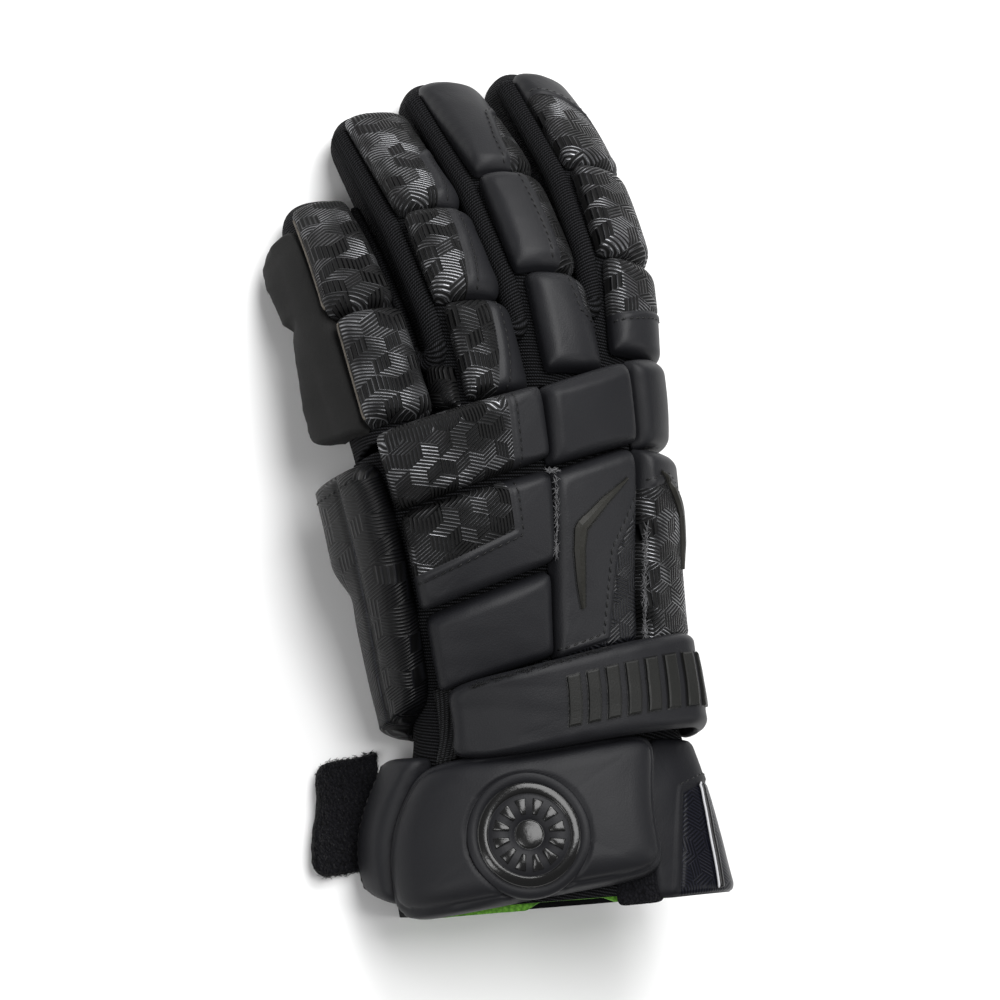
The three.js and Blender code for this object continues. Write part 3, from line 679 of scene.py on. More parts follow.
class Pad:
    """A sewn padded piece on a surface. x runs from the little-finger side to the thumb side and
    y from the cuff side to the far side, both from -1 to 1 over its four corners."""

    def __init__(self, name, on, corners, thick, mat="smooth", slot="smooth_leather", region=None,
                 lie=-0.3, edge=5.5, side=0.32, crown=1.0, end=1.0, left=1.0, square=7.0, cell=None,
                 wrinkle=0.18, node=None, form=None, profile=None, dent=None, tone=NO_SEAM, fill=0.8,
                 takes=True, wide_region=None):
        if cell is None:
            cell = 0.8 if region is None and wide_region is None else 0.5
        self.name, self.thick, self.dent, self.square = name, thick, dent, square
        self.options = (lie, edge, side, crown, end, left, wrinkle, form, profile)
        self.surface = SURFACES[on]
        self.unit = HAND_LENGTH if on == "hand" else self.surface.length
        self.corners = np.array([(q, t * self.unit) for q, t in corners])
        self.girth = self.surface.half_girth(self.corners[:, 1].mean())
        far_left, far_right, near_right, near_left = self.corners
        self.hx = self.girth * (far_right[0] - far_left[0] + near_right[0] - near_left[0]) / 4
        self.hy = (far_left[1] + far_right[1] - near_left[1] - near_right[1]) / 4
        self.region = [self.flat_of(q, t) for q, t in wide_region] if wide_region else region
        nu, nv = (max(int(2 * half / cell), MIN_CELLS) for half in (self.hx, self.hy))
        # the rows and columns lie a little closer at the edges
        self.xs, self.ys = (0.6 * s + 0.4 * np.sin(s * math.pi / 2)
                            for s in (np.linspace(-1, 1, nu + 1), np.linspace(-1, 1, nv + 1)))
        gx, gy = np.meshgrid(self.xs, self.ys)
        parts = [self.layer(gx, gy)]
        self.top = parts[0][0]
        loop = ([(0, i) for i in range(nu + 1)] + [(j, nu) for j in range(1, nv + 1)]
                + [(nv, i) for i in range(nu - 1, -1, -1)] + [(j, 0) for j in range(nv - 1, 0, -1)])
        lj, li = np.array(loop).T
        start = (nu + 1) * (nv + 1)
        faces = grid_faces(nv + 1, nu + 1)
        before = lj * (nu + 1) + li
        count = len(loop)
        for inset, drop in SIDE_RINGS:
            parts.append(self.layer(gx[lj, li], gy[lj, li], inset, drop))
            ids = start + np.arange(count)
            for k in range(count):
                m = (k + 1) % count
                faces.append((before[m], before[k], ids[k], ids[m]))
            before = ids
            start += count
        # underside: rows at full count, columns thinned, with the two end rows whole
        cols = list(range(0, nu, UNDER_STEP)) + [nu]
        at = {(int(j), int(i)): int(before[k]) for k, (j, i) in enumerate(loop)}
        inner = [(j, i) for j in range(1, nv) for i in cols[1:-1]]
        if inner:
            ij = tuple(np.array(inner).T)
            parts.append(self.layer(gx[ij], gy[ij], *SIDE_RINGS[-1]))
            at.update((key, start + k) for k, key in enumerate(inner))
        for j in range(nv):
            for c0, c1 in zip(cols[:-1], cols[1:]):
                low = range(c0, c1 + 1) if j == 0 else (c0, c1)
                high = range(c0, c1 + 1) if j == nv - 1 else (c0, c1)
                face = [at[(j, i)] for i in low] + [at[(j + 1, i)] for i in reversed(list(high))]
                faces.append(tuple(reversed(face)))
        verts, uv, seam = (np.concatenate([part[k].reshape(-1, size) for part in parts])
                           for k, size in enumerate((3, 2, 1)))
        if self.region is None:
            seam = np.full(len(seam), tone)
        across = uv[:, 0] - self.girth * self.corners[:, 0].mean()
        self.piece = build(node or f"{name}_pad", verts, faces, [mat], (name,) if takes else (), uv,
                           {"seam": seam.ravel(), "crease": across - CREASE_AT})

    def blend(self, u, v):
        """Place between the corners, as q and millimetres, for shares u and v of the way."""
        u, v = np.asarray(u)[..., None], np.asarray(v)[..., None]
        far_left, far_right, near_right, near_left = self.corners
        return (near_left * (1 - u) + near_right * u) * (1 - v) + (far_left * (1 - u) + far_right * u) * v

    def norm(self, x, y):
        return (np.abs(x) ** self.square + np.abs(y) ** self.square) ** (1 / self.square)

    def flat_of(self, q, t):
        """Pad coordinates of a place given as q and a share of the length that it lies on."""
        far_left, far_right, near_right, near_left = self.corners
        u, v = 0.5, 0.5
        for _ in range(8):
            miss = self.blend(u, v) - (q, t * self.unit)
            by_u = (near_right - near_left) * (1 - v) + (far_right - far_left) * v
            by_v = (far_left - near_left) * (1 - u) + (far_right - near_right) * u
            du, dv = np.linalg.solve(np.stack([by_u, by_v], 1), miss)
            u, v = u - du, v - dv
        return 2 * u - 1, 2 * v - 1

    def layer(self, x, y, inset=None, drop=None):
        """Points at grid places; inset and drop lay out the sides and the underside."""
        lie, edge, side, crown, end, left, wrinkle, form, profile = self.options
        rho = np.maximum(np.abs(x), np.abs(y))
        pull = np.where(rho > 1e-9, rho / np.maximum(self.norm(x, y), 1e-9), 1.0)
        px, py = x * pull, y * pull
        wx, wy = np.abs(x) ** 6 + 1e-9, np.abs(y) ** 6 + 1e-9
        half = (wx * self.hx + wy * self.hy) / (wx + wy)
        if inset is not None:
            px, py = px * (1 - inset / half), py * (1 - inset / half)
        d = (1 - rho) * half
        extra = 0.0
        if form is not None:
            px, py, extra = form(px, py)
        u, v = (px + 1) / 2, (py + 1) / 2
        q, t = np.moveaxis(self.blend(u, v), -1, 0)
        mmx, mmy = px * self.hx, py * self.hy
        full = self.thick * (1 + (end - 1) * np.clip(v, 0, 1) ** 2) * (left + (1 - left) * np.clip(u, 0, 1))
        if self.region is not None:
            poly = [(a * self.hx, b * self.hy) for a, b in self.region]
            seam = polygon_distance(mmx, mmy, poly)
        else:
            seam = np.full(np.shape(mmx), NO_SEAM)
        if inset is None:
            soft = np.clip(d / edge, 0, 1)
            rise = quarter(soft) if profile is None else profile(d)
            lift = full * (side + (1 - side) * rise)
            lift += crown * ((1 - x ** 2) * (1 - y ** 2) - CROWN_AT)
            lift += wrinkle * soft * wobble(mmx, mmy, len(self.name) * 7 + int(self.hx * 10), WAVES[0])
            near_edge = np.exp(-d / 2.5) * np.clip(d / 0.8, 0, 1)
            lift += wrinkle * 1.4 * near_edge * wobble(mmx, mmy, len(self.name) * 3 + 1, WAVES[1])
            if self.region is not None:
                fold = smooth((seam - FOLD_FROM) / FOLD_SOFT) * (1 - smooth((seam - FOLD_TO) / FOLD_SOFT))
                lift += (FOLD_RISE * fold - SEAM_DIP * hump(seam, 0, SEAM_HALF)) * soft
            lift += extra * soft
        else:
            lift = full * side * drop
        lift = lift + (lie(np.clip(u, 0, 1)) if callable(lie) else lie)
        points, _ = self.surface.at(q, t, lift)
        if self.dent is not None and inset is None:
            points = self.dented(points)
        return points, np.stack([q * self.girth, t], -1), seam

    def dented(self, points):
        """The top pressed in over a round place, which is round as seen along its normal."""
        q, t, radius, depth = self.dent
        centre, normal = self.surface.at(q, t * HAND_LENGTH, self.thick)
        off = points - centre
        flat = off - (off @ normal)[..., None] * normal
        reach = np.linalg.norm(flat, axis=-1)
        press = depth * (1 - smooth((reach - radius + 0.5) / 1.0))
        return points - press[..., None] * normal

    def place(self, x, y):
        """Point and normal of the finished top at pad coordinates, before rounding of corners."""
        fx = np.interp(x, self.xs, np.arange(len(self.xs)))
        fy = np.interp(y, self.ys, np.arange(len(self.ys)))
        i = np.clip(fx.astype(int), 0, len(self.xs) - 2)
        j = np.clip(fy.astype(int), 0, len(self.ys) - 2)
        u = (fx - i)[:, None]
        v = (fy - j)[:, None]
        a, b = self.top[j, i], self.top[j, i + 1]
        c, d = self.top[j + 1, i], self.top[j + 1, i + 1]
        point = (a * (1 - u) + b * u) * (1 - v) + (c * (1 - u) + d * u) * v
        return point, unit(np.cross((b - a) * (1 - v) + (d - c) * v, (c - a) * (1 - u) + (d - b) * u))

    def unround(self, mmx, mmy):
        """Grid place of a flat place in millimetres from the middle."""
        px, py = mmx / self.hx, mmy / self.hy
        big = np.maximum(np.abs(px), np.abs(py))
        k = np.where(big > 1e-9, self.norm(px, py) / np.maximum(big, 1e-9), 1.0)
        return px * k, py * k

    def line(self, points):
        """Dense path over the top through flat places in millimetres, without its ends."""
        points = np.array(points, float)
        reach = reach_of(points)
        gx, gy = self.unround(*read_path(points, reach, np.arange(0, reach[-1], PATH_STEP)).T)
        keep = np.maximum(np.abs(gx), np.abs(gy)) < PATH_END
        return self.place(gx[keep], gy[keep])

    def seam_line(self, offset):
        """Path beside the seam, offset to the plain side, in flat millimetres."""
        poly = np.array(self.region) * (self.hx, self.hy)
        ahead = np.roll(poly, -1, axis=0)
        area = 0.5 * np.sum(poly[:, 0] * ahead[:, 1] - ahead[:, 0] * poly[:, 1])
        way = unit(ahead - poly)
        normals = np.stack([way[:, 1], -way[:, 0]], 1) * (1.0 if area > 0 else -1.0)
        middle = unit(np.roll(normals, 1, axis=0) + normals)
        return poly + middle * offset / np.maximum((middle * normals).sum(1), 0.5)[:, None]


THREAD = {"verts": [], "faces": []}
STITCH_PITCH, STITCH_LENGTH, STITCH_RADIUS, STITCH_LIFT, STITCH_SLANT = 3.3, 2.5, 0.38, 0.05, 0.22
STITCH_PLACES = np.array([-1, -0.72, 0, 0.72, 1])
STITCH_SIZES = np.array([0.35, 0.85, 1, 0.85, 0.35])[:, None, None] * STITCH_RADIUS


def spokes(side, up, count):
    """Directions round a cord, for each of its places."""
    a = np.linspace(0, 2 * math.pi, count, endpoint=False)[:, None]
    return side[:, None] * np.cos(a) + up[:, None] * np.sin(a)


def stitch_line(points, normals):
    """Short thick stitches along a dense path, gathered into one mesh."""
    breaks = np.where(np.linalg.norm(np.diff(points, axis=0), axis=1) > 2.0)[0] + 1
    for pts, nrm in zip(np.split(points, breaks), np.split(normals, breaks)):
        if len(pts) < 4:
            continue
        reach = reach_of(pts)
        for c in np.arange(STITCH_PITCH * 0.6, reach[-1] - STITCH_PITCH * 0.3, STITCH_PITCH):
            c = c + RNG.uniform(-0.15, 0.15)
            at = c + STITCH_PLACES * (STITCH_LENGTH / 2 * RNG.uniform(0.9, 1.08))
            up = unit(read_path(nrm, reach, at))
            sunk = STITCH_LIFT - STITCH_RADIUS * 0.8 * STITCH_PLACES ** 2
            p = read_path(pts, reach, at) + up * sunk[:, None]
            slant = np.cross(up[2], unit(p[-1] - p[0]))
            p = p + slant * STITCH_SLANT * STITCH_PLACES[:, None]
            verts = p[:, None] + spokes(np.tile(slant, (5, 1)), up, 6) * STITCH_SIZES
            THREAD["faces"] += tube_faces(5, 6, start=len(THREAD["verts"]))
            THREAD["verts"] += list(verts.reshape(-1, 3))


def cord_mesh(points, normals, radius, sides=8, sink=0.0):
    """A round cord along a dense path, as points and faces."""
    way = unit(np.concatenate([points[1:], points[-1:]]) - np.concatenate([points[:1], points[:-1]]))
    side = unit(np.cross(normals, way))
    thick = np.full((len(points), 1, 1), radius)
    thick[[0, -1]] *= 0.25
    verts = (points - normals * sink)[:, None] + spokes(side, normals, sides) * thick
    return verts.reshape(-1, 3), tube_faces(len(points), sides)


# Knit liners

def liner(surface, stations, around, wall):
    """Rings of a tube with a wall: its outer skin, its inner skin and their flat places."""
    qs = np.linspace(-1, 1, around, endpoint=False)
    outer, inner = (np.array([ring(surface.section(min(t, surface.length)), qs, inset)[0] for t in stations])
                    for inset in (0, wall))
    girth = surface.half_girth(surface.length * 0.5)
    return outer, inner, np.array([np.stack([qs * girth, np.full(around, t)], 1) for t in stations])


def tip_stations(surface, root, count=64):
    straight = np.linspace(root, surface.length - TIP_ROUND, count)
    phi = np.linspace(0, math.pi / 2, 14)[1:-1]
    round_end = TIP_ROUND * np.sin(phi) ** (2 / TIP_POWER)
    return np.concatenate([straight, surface.length - TIP_ROUND + round_end])


def finger_liner(name):
    surface = SURFACES[name]
    around = 72
    stations = tip_stations(surface, -1.0 if name != "thumb" else 6.0)
    outer, inner, uvs = liner(surface, stations, around, FINGER_WALL)
    if name != "thumb":
        # the root follows the front of the hand
        for rows in (outer, inner):
            rows[..., 1] = np.maximum(rows[..., 1], front_at(rows[..., 0]) + 0.4)
    rings = len(stations)
    tips = [surface.section(surface.length - short)[0] for short in (0.0, FINGER_WALL + 0.5)]
    verts = np.concatenate([outer.reshape(-1, 3), inner[:-2].reshape(-1, 3), tips])
    n_outer = rings * around
    n_inner = (rings - 2) * around
    skins = [grid_faces(rings, around, closed=True),
             grid_faces(rings - 2, around, closed=True, start=n_outer, flip=True)]
    ends = (fan_faces(n_outer - around, n_outer + n_inner, around)
            + fan_faces(n_outer + n_inner - around, n_outer + n_inner + 1, around, flip=True)
            + ring_faces(0, n_outer, around, flip=True))
    uv = np.concatenate([uvs.reshape(-1, 2), uvs[:-2].reshape(-1, 2), [[0, surface.length]] * 2])
    index = [0] * len(skins[0]) + [1] * len(skins[1]) + [0] * len(ends)
    return build(f"{name}_knit", verts, skins[0] + skins[1] + ends, ["knit", "inside"],
                 (f"{name}_liner",), uv, None, index)


def hand_liner():
    surface = SURFACES["hand"]
    around = 160
    stations = np.linspace(0, HAND_LENGTH, 110)
    outer, inner, uvs = liner(surface, stations, around, HAND_WALL)
    outer[..., 2] = np.maximum(outer[..., 2], 0.05)
    inner[..., 2] = np.maximum(inner[..., 2], HAND_WALL)
    # the front closes round the fingers by smaller and smaller rings
    middle = surface.section(HAND_LENGTH)[0]
    front = [middle + (outer[-1] - middle) * share for share in (0.93, 0.8, 0.55)]
    count = len(stations) * around
    verts = np.concatenate([outer.reshape(-1, 3), inner.reshape(-1, 3), *front, middle[None]])
    lined = (grid_faces(len(stations), around, closed=True, start=count, flip=True)
             + ring_faces(0, count, around, flip=True))
    starts = [count - around] + [2 * count + k * around for k in range(3)]
    closed = sum((ring_faces(a, b, around) for a, b in zip(starts[:-1], starts[1:])), [])
    closed += fan_faces(starts[-1], starts[-1] + around, around)
    knit = grid_faces(len(stations), around, closed=True)
    flat = uvs.reshape(-1, 2)
    uv = np.concatenate([flat, flat, np.tile(uvs[-1], (3, 1)), [[0, HAND_LENGTH]]])
    return build("hand_knit", verts, knit + lined + closed, ["knit", "inside"], ("hand_liner",), uv,
                 None, [0] * len(knit) + [1] * len(lined) + [0] * len(closed))


hand_liner()
for finger_name in FINGERS:
    finger_liner(finger_name)

# Finger rolls: q of the left and right edge, shares of the finger from the root, height of the far
# end, lean of the far left corner, and the patterned region as a polygon in pad coordinates, or one
# number for a roll that is patterned or plain all over
LINED, PLAIN = -NO_SEAM, NO_SEAM
ROLLS = [
    ("little", "far", (-0.26, 0.18), (0.414, 0.89), 0.75, 0, LINED),
    ("little", "near", (-0.22, 0.20), (0.026, 0.404), 1, 0, LINED),
    ("ring", "far", (-0.21, 0.26), (0.537, 0.93), 0.75, -0.06,
     [(-2, -2), (0.13, -2), (0.15, -1.05), (0.3, -0.55), (0.28, -0.15), (0.98, 0.25), (2, 0.8), (2, 2),
      (-2, 2)]),
    ("ring", "middle", (-0.19, 0.28), (0.268, 0.531), 1, 0,
     [(-2, -2), (-0.25, -2), (-0.15, -1), (0.02, -0.3), (0.1, 0.3), (0.14, 1), (0.2, 2), (-2, 2)]),
    ("ring", "near", (-0.15, 0.29), (0.02, 0.261), 1, 0,
     [(-2, -2), (-0.35, -2), (-0.2, -1), (-0.02, -0.3), (0.06, 0.3), (0.12, 1), (0.15, 2), (-2, 2)]),
    ("middle", "far", (-0.21, 0.28), (0.568, 0.93), 0.75, -0.07,
     [(2, -2), (0, -2), (0.05, -1), (0.15, -0.5), (0.45, 0.1), (1.1, 0.4), (2, 0.6)]),
    ("middle", "middle", (-0.20, 0.30), (0.274, 0.562), 1, 0,
     [(0.16, 2), (0.17, 1), (0.2, 0.2), (0.22, -0.45), (0.18, -1), (0.15, -2), (2, -2), (2, 2)]),
    ("middle", "near", (-0.15, 0.33), (0.02, 0.267), 1, 0,
     [(0.2, 2), (0.24, 0.85), (0.3, 0.3), (0.8, 0.02), (1.1, -0.1), (2, -0.2), (2, 2)]),
    ("index", "far", (-0.22, 0.32), (0.557, 0.925), 0.75, -0.05,
     [(-2, -2), (0.4, -2), (0.45, -1), (0.6, -0.6), (0.35, 0.05), (-0.2, 0.25), (-0.8, 0.38), (-2, 0.45)]),
    ("index", "middle", (-0.19, 0.33), (0.288, 0.55), 1, 0,
     [(-2, -2), (0.66, -2), (0.7, -1), (0.86, 1), (0.95, 2), (-2, 2)]),
    ("index", "near", (-0.16, 0.32), (0.03, 0.281), 1, 0,
     [(-2, -0.4), (-0.7, -0.16), (0.95, 0.19), (2, 0.4), (2, 2), (-2, 2)]),
    ("thumb", "far", (-0.06, 0.30), (0.606, 0.915), 0.6, 0, PLAIN),
    ("thumb", "near", (-0.04, 0.32), (0.319, 0.564), 1, 0, PLAIN),
]
PADS = {}


def pad(name, on, corners, thick, **options):
    PADS[name] = Pad(name, on, corners, thick, **options)


for on, part, q, t, end, lean, region in ROLLS:
    whole = isinstance(region, float)
    pad(f"{on}_roll_{part}", on, [(q[0] + lean, t[1]), (q[1], t[1]), (q[1], t[0]), (q[0], t[0])],
        ROLL_PAD * (0.6 if on == "thumb" else 1.0), mat="two_tone", slot="embossed_gloss",
        region=None if whole else region, tone=region if whole else NO_SEAM, end=end, edge=5.0,
        crown=0.9, square=14, cell=0.5)

BACK = [
    ("knuckle_roll_outer", [(-0.415, 1.03), (0, 1.012), (0, 0.868), (-0.41, 0.862)], HAND_PAD,
     "two_tone", [(-2, -2), (0.4, -2), (0.42, -1), (0.48, 0.85), (0.5, 2), (-2, 2)]),
    ("knuckle_roll_middle", [(0.005, 1.005), (0.275, 1.005), (0.28, 0.848), (-0.005, 0.85)], HAND_PAD,
     "smooth", None),
    ("knuckle_roll_inner", [(0.285, 1.005), (0.47, 1.0), (0.47, 0.825), (0.29, 0.835)], HAND_PAD,
     "smooth", None),
    ("backhand_roll_upper", [(-0.405, 0.856), (-0.005, 0.846), (-0.02, 0.668), (-0.395, 0.65)], HAND_PAD,
     "two_tone", [(-2, 2), (0.32, 2), (0.31, 0.97), (0.32, 0), (-0.98, -0.25), (-2, -0.45)]),
    ("backhand_roll_lower", [(-0.385, 0.638), (-0.035, 0.655), (-0.045, 0.482), (-0.37, 0.47)], HAND_PAD,
     "smooth", None),
    ("backhand_plate_outer", [(-0.01, 0.838), (0.265, 0.845), (0.215, 0.46), (-0.05, 0.47)], PLATE_PAD,
     "printed", [(2, 1.1), (1.1, 0.6), (0.36, 0.04), (0.2, -0.86), (-1.2, -0.96), (-2, -2), (2, -2)]),
    ("backhand_plate_inner", [(0.275, 0.84), (0.485, 0.81), (0.465, 0.46), (0.23, 0.455)], INNER_PLATE_PAD,
     "two_tone", [(-2, 0.6), (-0.86, 0.6), (-0.32, 0.67), (0.27, 0.5), (0.75, 0.2), (0.85, -0.5),
                  (0.6, -1.2), (0.5, -2), (-2, -2)]),
]
for name, corners, thick, mat, region in BACK:
    pad(name, "hand", corners, thick, mat=mat, region=region, edge=5.0, square=14,
        slot="smooth_leather" if mat == "smooth" else "embossed_gloss")


def bolster_form(x, y):
    """A swell with a waist below it along the outer edge, two shallow dents, and a crease."""
    waist = hump(y, 0.1, 0.13) + 0.3 * hump(y, -0.45, 0.12) + 0.3 * hump(y, 0.72, 0.12)
    crease = hump(x, 0.35, 0.07)
    swell = 4.2 * smooth((y - 0.06) / 0.3) * smooth((0.3 - x) / 0.6)
    dents = 1.6 * waist * np.clip(-x, 0, 1)
    return np.where(x < 0, x * (1 - 0.2 * waist), x), y, swell - dents - 1.1 * crease


PATCH_EDGE = ((-1, 3.0), (-0.6, 3.2), (-0.2, 0.8), (0.02, -1.5), (0.12, -4.0), (0.2, 1.0), (0.6, 2.4),
              (0.86, 0.5), (1, -3.5))


def patch_form(x, y):
    """The padding at the outer edge swells and falls along the finger, with a notch half way."""
    places, swells = zip(*PATCH_EDGE)
    swell = np.interp(y, places, swells)
    return np.where(x < 0, x * (1 - 0.12 * np.clip((y - 0.8) / 0.2, 0, 1)), x), y, swell * np.clip(-x, 0, 1)


def shield_profile(d):
    """A low rim, then a long soft rise."""
    return 0.5 * quarter(d / 2.2) + 0.5 * quarter((d - 2.6) / 9.0)


def tab_form(x, y):
    """Two bands of webbing with a step between them."""
    return x, y, -0.7 * hump(x, 0.15, 0.12)


BADGE_AT = (-0.095, 0.126)
BADGE_HOLLOW = 23.0
pad("wrist_pad", "hand", [(-0.31, 0.456), (0.32, 0.455), (0.32, 0.31), (-0.29, 0.33)], 10.0,
    node="wrist_cushion")
pad("cuff_shield", "hand", [(-0.385, 0.312), (0.243, 0.3), (0.22, 0.03), (-0.43, -0.02)], CUFF_PAD,
    profile=shield_profile, edge=3.0, crown=1.6, square=8, side=0.38, cell=0.75,
    dent=(*BADGE_AT, BADGE_HOLLOW, 1.0))
pad("side_bolster", "hand", [(-0.66, 0.99), (-0.425, 0.99), (-0.4, 0.45), (-0.66, 0.37)], 13.0,
    mat="side_print", slot="embossed_gloss", form=bolster_form, edge=4.5)
pad("cuff_band", "hand", [(-0.54, 0.335), (-0.375, 0.325), (-0.405, 0.01), (-0.53, 0.075)], 12.0,
    edge=6.0, square=6)
pad("cuff_flare", "hand", [(0.245, 0.29), (0.5, 0.28), (0.5, -0.004), (0.19, -0.012)], 4.0, mat="flare",
    edge=3.0, side=0.5, square=14,
    wide_region=[(0.33, 0.183), (0.42, 0.2), (0.7, 0.2), (0.7, -0.06), (0.225, -0.06)])
pad("webbing_tab", "hand", [(-0.395, 0.482), (-0.325, 0.472), (-0.31, 0.31), (-0.37, 0.305)], 2.6,
    mat="webbing", slot="webbing", edge=1.2, crown=0.1, node="webbing_tab_strip", square=14,
    wrinkle=0.05, form=tab_form, cell=0.5)
pad("palm_leather", "hand", [(0.74, 0.945), (1.34, 0.945), (1.3, 0.527), (0.8, 0.527)], 1.6, mat="palm",
    slot="palm_leather", edge=1.5, crown=0.1, node="palm_skin", cell=2.0)
pad("little_side_patch", "little", [(-0.6, 0.86), (-0.275, 0.82), (-0.215, 0.018), (-0.64, 0.08)], 5.0,
    mat="patch", slot="matte_patch", left=2.5, edge=2.5, node="little_patch", form=patch_form,
    square=14, cell=0.7)
pad("crotch_tab", "ring", [(-0.37, 0.15), (-0.18, 0.115), (-0.2, 0.01), (-0.41, 0.035)], 5.0,
    mat="two_tone", slot="embossed_gloss", edge=2.5, square=10, tone=LINED, cell=0.5, takes=False)
pad("cuff_fabric", "hand", [(0.12, 0.08), (0.25, 0.08), (0.21, -0.018), (0.09, -0.02)], 2.2,
    mat="loops", slot="loop_fabric", edge=1.2, wrinkle=0.5, node="cuff_fabric_patch", takes=False)


def strap_lie(u):
    """The strap climbs onto its cushion and comes down again past it."""
    low, high = 6.5, 11.6
    rise = low + (high - low) * smooth(u * 4)
    return rise + (0.4 - rise) * smooth((u - 0.75) * 4.5)


pad("wrist_strap", "hand", [(-0.345, 0.487), (0.52, 0.472), (0.52, 0.288), (-0.31, 0.303)], 6.0,
    lie=strap_lie, edge=4.2, side=0.42, crown=0.9, square=9, wrinkle=0.22, node="wrist_strap_band",
    cell=0.7)


# Raised bars: facets across a bar that narrows to both ends, in a thin black groove
BAR_PROFILE = ((-0.5, -1.0), (-0.5, 0.3), (-0.22, 1.0), (0.18, 0.85), (0.5, 0.25), (0.5, -1.0))
GROOVE_PROFILE = ((-0.5, -1.0), (-0.5, 0.06), (0.5, 0.06), (0.5, -1.0))


def bar_rows(pad, path, widths, height, profile, wider):
    """Rows of points across a bar whose path is (q, share of the length) on a pad's top."""
    flat = np.array([pad.flat_of(q, t) for q, t in path]) * (pad.hx, pad.hy)
    reach = reach_of(flat)
    fine = np.unique(np.concatenate([np.linspace(0, reach[-1], 48), reach]))
    line = read_path(flat, reach, fine)
    wide = np.interp(fine, reach, widths) + wider
    way = unit(np.gradient(line, axis=0))
    across = np.stack([way[:, 1], -way[:, 0]], 1)
    rows = []
    for a, h in profile:
        p = line + across * (a * wide)[:, None]
        point, normal = pad.place(*pad.unround(p[:, 0], p[:, 1]))
        rows.append(point + normal * (h * height * np.minimum(1, wide / max(widths) + 0.3))[:, None])
    return np.stack(rows, 1)


def raised_bar(name, pad, path, widths, height=1.9):
    verts, faces, index = [], [], []
    for k, (profile, wider) in enumerate(((BAR_PROFILE, 0.0), (GROOVE_PROFILE, 1.3))):
        rows = bar_rows(pad, path, widths, height, profile, wider)
        new = tube_faces(len(rows), len(profile), start=sum(len(v) for v in verts))
        verts.append(rows.reshape(-1, 3))
        faces += new
        index += [k] * len(new)
    return build(f"{name}_bar", np.concatenate(verts), faces, ["bars", "piping"], (name,),
                 index=index, flat=True)


raised_bar("chevron_outer", PADS["backhand_plate_outer"],
           [(0.205, 0.79), (0.12, 0.758), (0.045, 0.723), (0.034, 0.685), (0.033, 0.624), (0.035, 0.566)],
           (0.5, 3.3, 5.4, 4.4, 3.4, 1.6))
raised_bar("chevron_inner", PADS["backhand_plate_inner"],
           [(0.315, 0.79), (0.355, 0.755), (0.405, 0.705), (0.405, 0.66), (0.395, 0.60)],
           (0.5, 2.6, 3.8, 3.0, 0.8))


# Raised ribs on the strap, each a bevelled block in a thin black groove: material, half width and
# half length in millimetres, and the heights of its rings of points
RIBS = 8
RIB_SPAN, RIB_ROW = (-0.03, 0.36), 0.38
RIB_LAYERS = ((1, 2.7, 10.4, (-0.6, 0.1, 0.12)), (0, 2.2, 9.8, (-0.6, 0.85, 1.1)))
RIB_BEVELS = (0.0, 0.0, 0.55)
RIB_POINTS = 9  # along each long side


def strap_ribs():
    strap = PADS["wrist_strap"]
    verts, faces, index = [], [], []
    count = 2 * RIB_POINTS
    for q in np.linspace(*RIB_SPAN, RIBS):
        x, _ = strap.flat_of(q, RIB_ROW)
        for mat, half_w, half_l, heights in RIB_LAYERS:
            start = sum(len(v) for v in verts)
            for bevel, h in zip(RIB_BEVELS, heights):
                w, ys = half_w - bevel, np.linspace(bevel - half_l, half_l - bevel, RIB_POINTS)
                rim = np.array([(-w, y) for y in ys] + [(w, y) for y in ys[::-1]]) + (x * strap.hx, 0)
                point, normal = strap.place(*strap.unround(*rim.T))
                verts.append(point + normal * h)
            top = start + 2 * count
            new = grid_faces(3, count, closed=True, start=start, flip=True)
            new += [(top + i + 1, top + i, top + count - 1 - i, top + count - 2 - i)
                    for i in range(RIB_POINTS - 1)]
            new.append(tuple(start + i for i in range(count)))
            faces += new
            index += [mat] * len(new)
    return build("strap_ribs", np.concatenate(verts), faces, ["relief", "piping"],
                 index=index, flat=True)


strap_ribs()


# Round badge: (radius, height over the pressed-in top, material) from the rim inwards
BADGE_RINGS = (
    (22.2, -1.5, 0), (22.2, 0.6, 0), (21.8, 0.95, 0), (18.7, 0.95, 0), (18.6, 0.65, 1), (18.4, 1.5, 1),
    (18.0, 1.7, 1), (15.5, 1.7, 1), (15.1, 1.5, 1), (14.9, 0.65, 0), (14.6, 0.9, 0), (5.4, 0.9, 0),
    (5.3, 0.6, 1), (5.0, 1.4, 1), (4.5, 1.6, 1), (0.6, 1.6, 1))
BADGE_RAYS = 12
RAY_FROM, RAY_TO, RAY_NARROW, RAY_WIDE = 7.4, 13.0, 0.75, 2.0  # mm, the last two half widths
RAY_LAYERS = ((0.0, 0.5), (0.0, 1.25), (0.35, 1.45))  # bevel and height


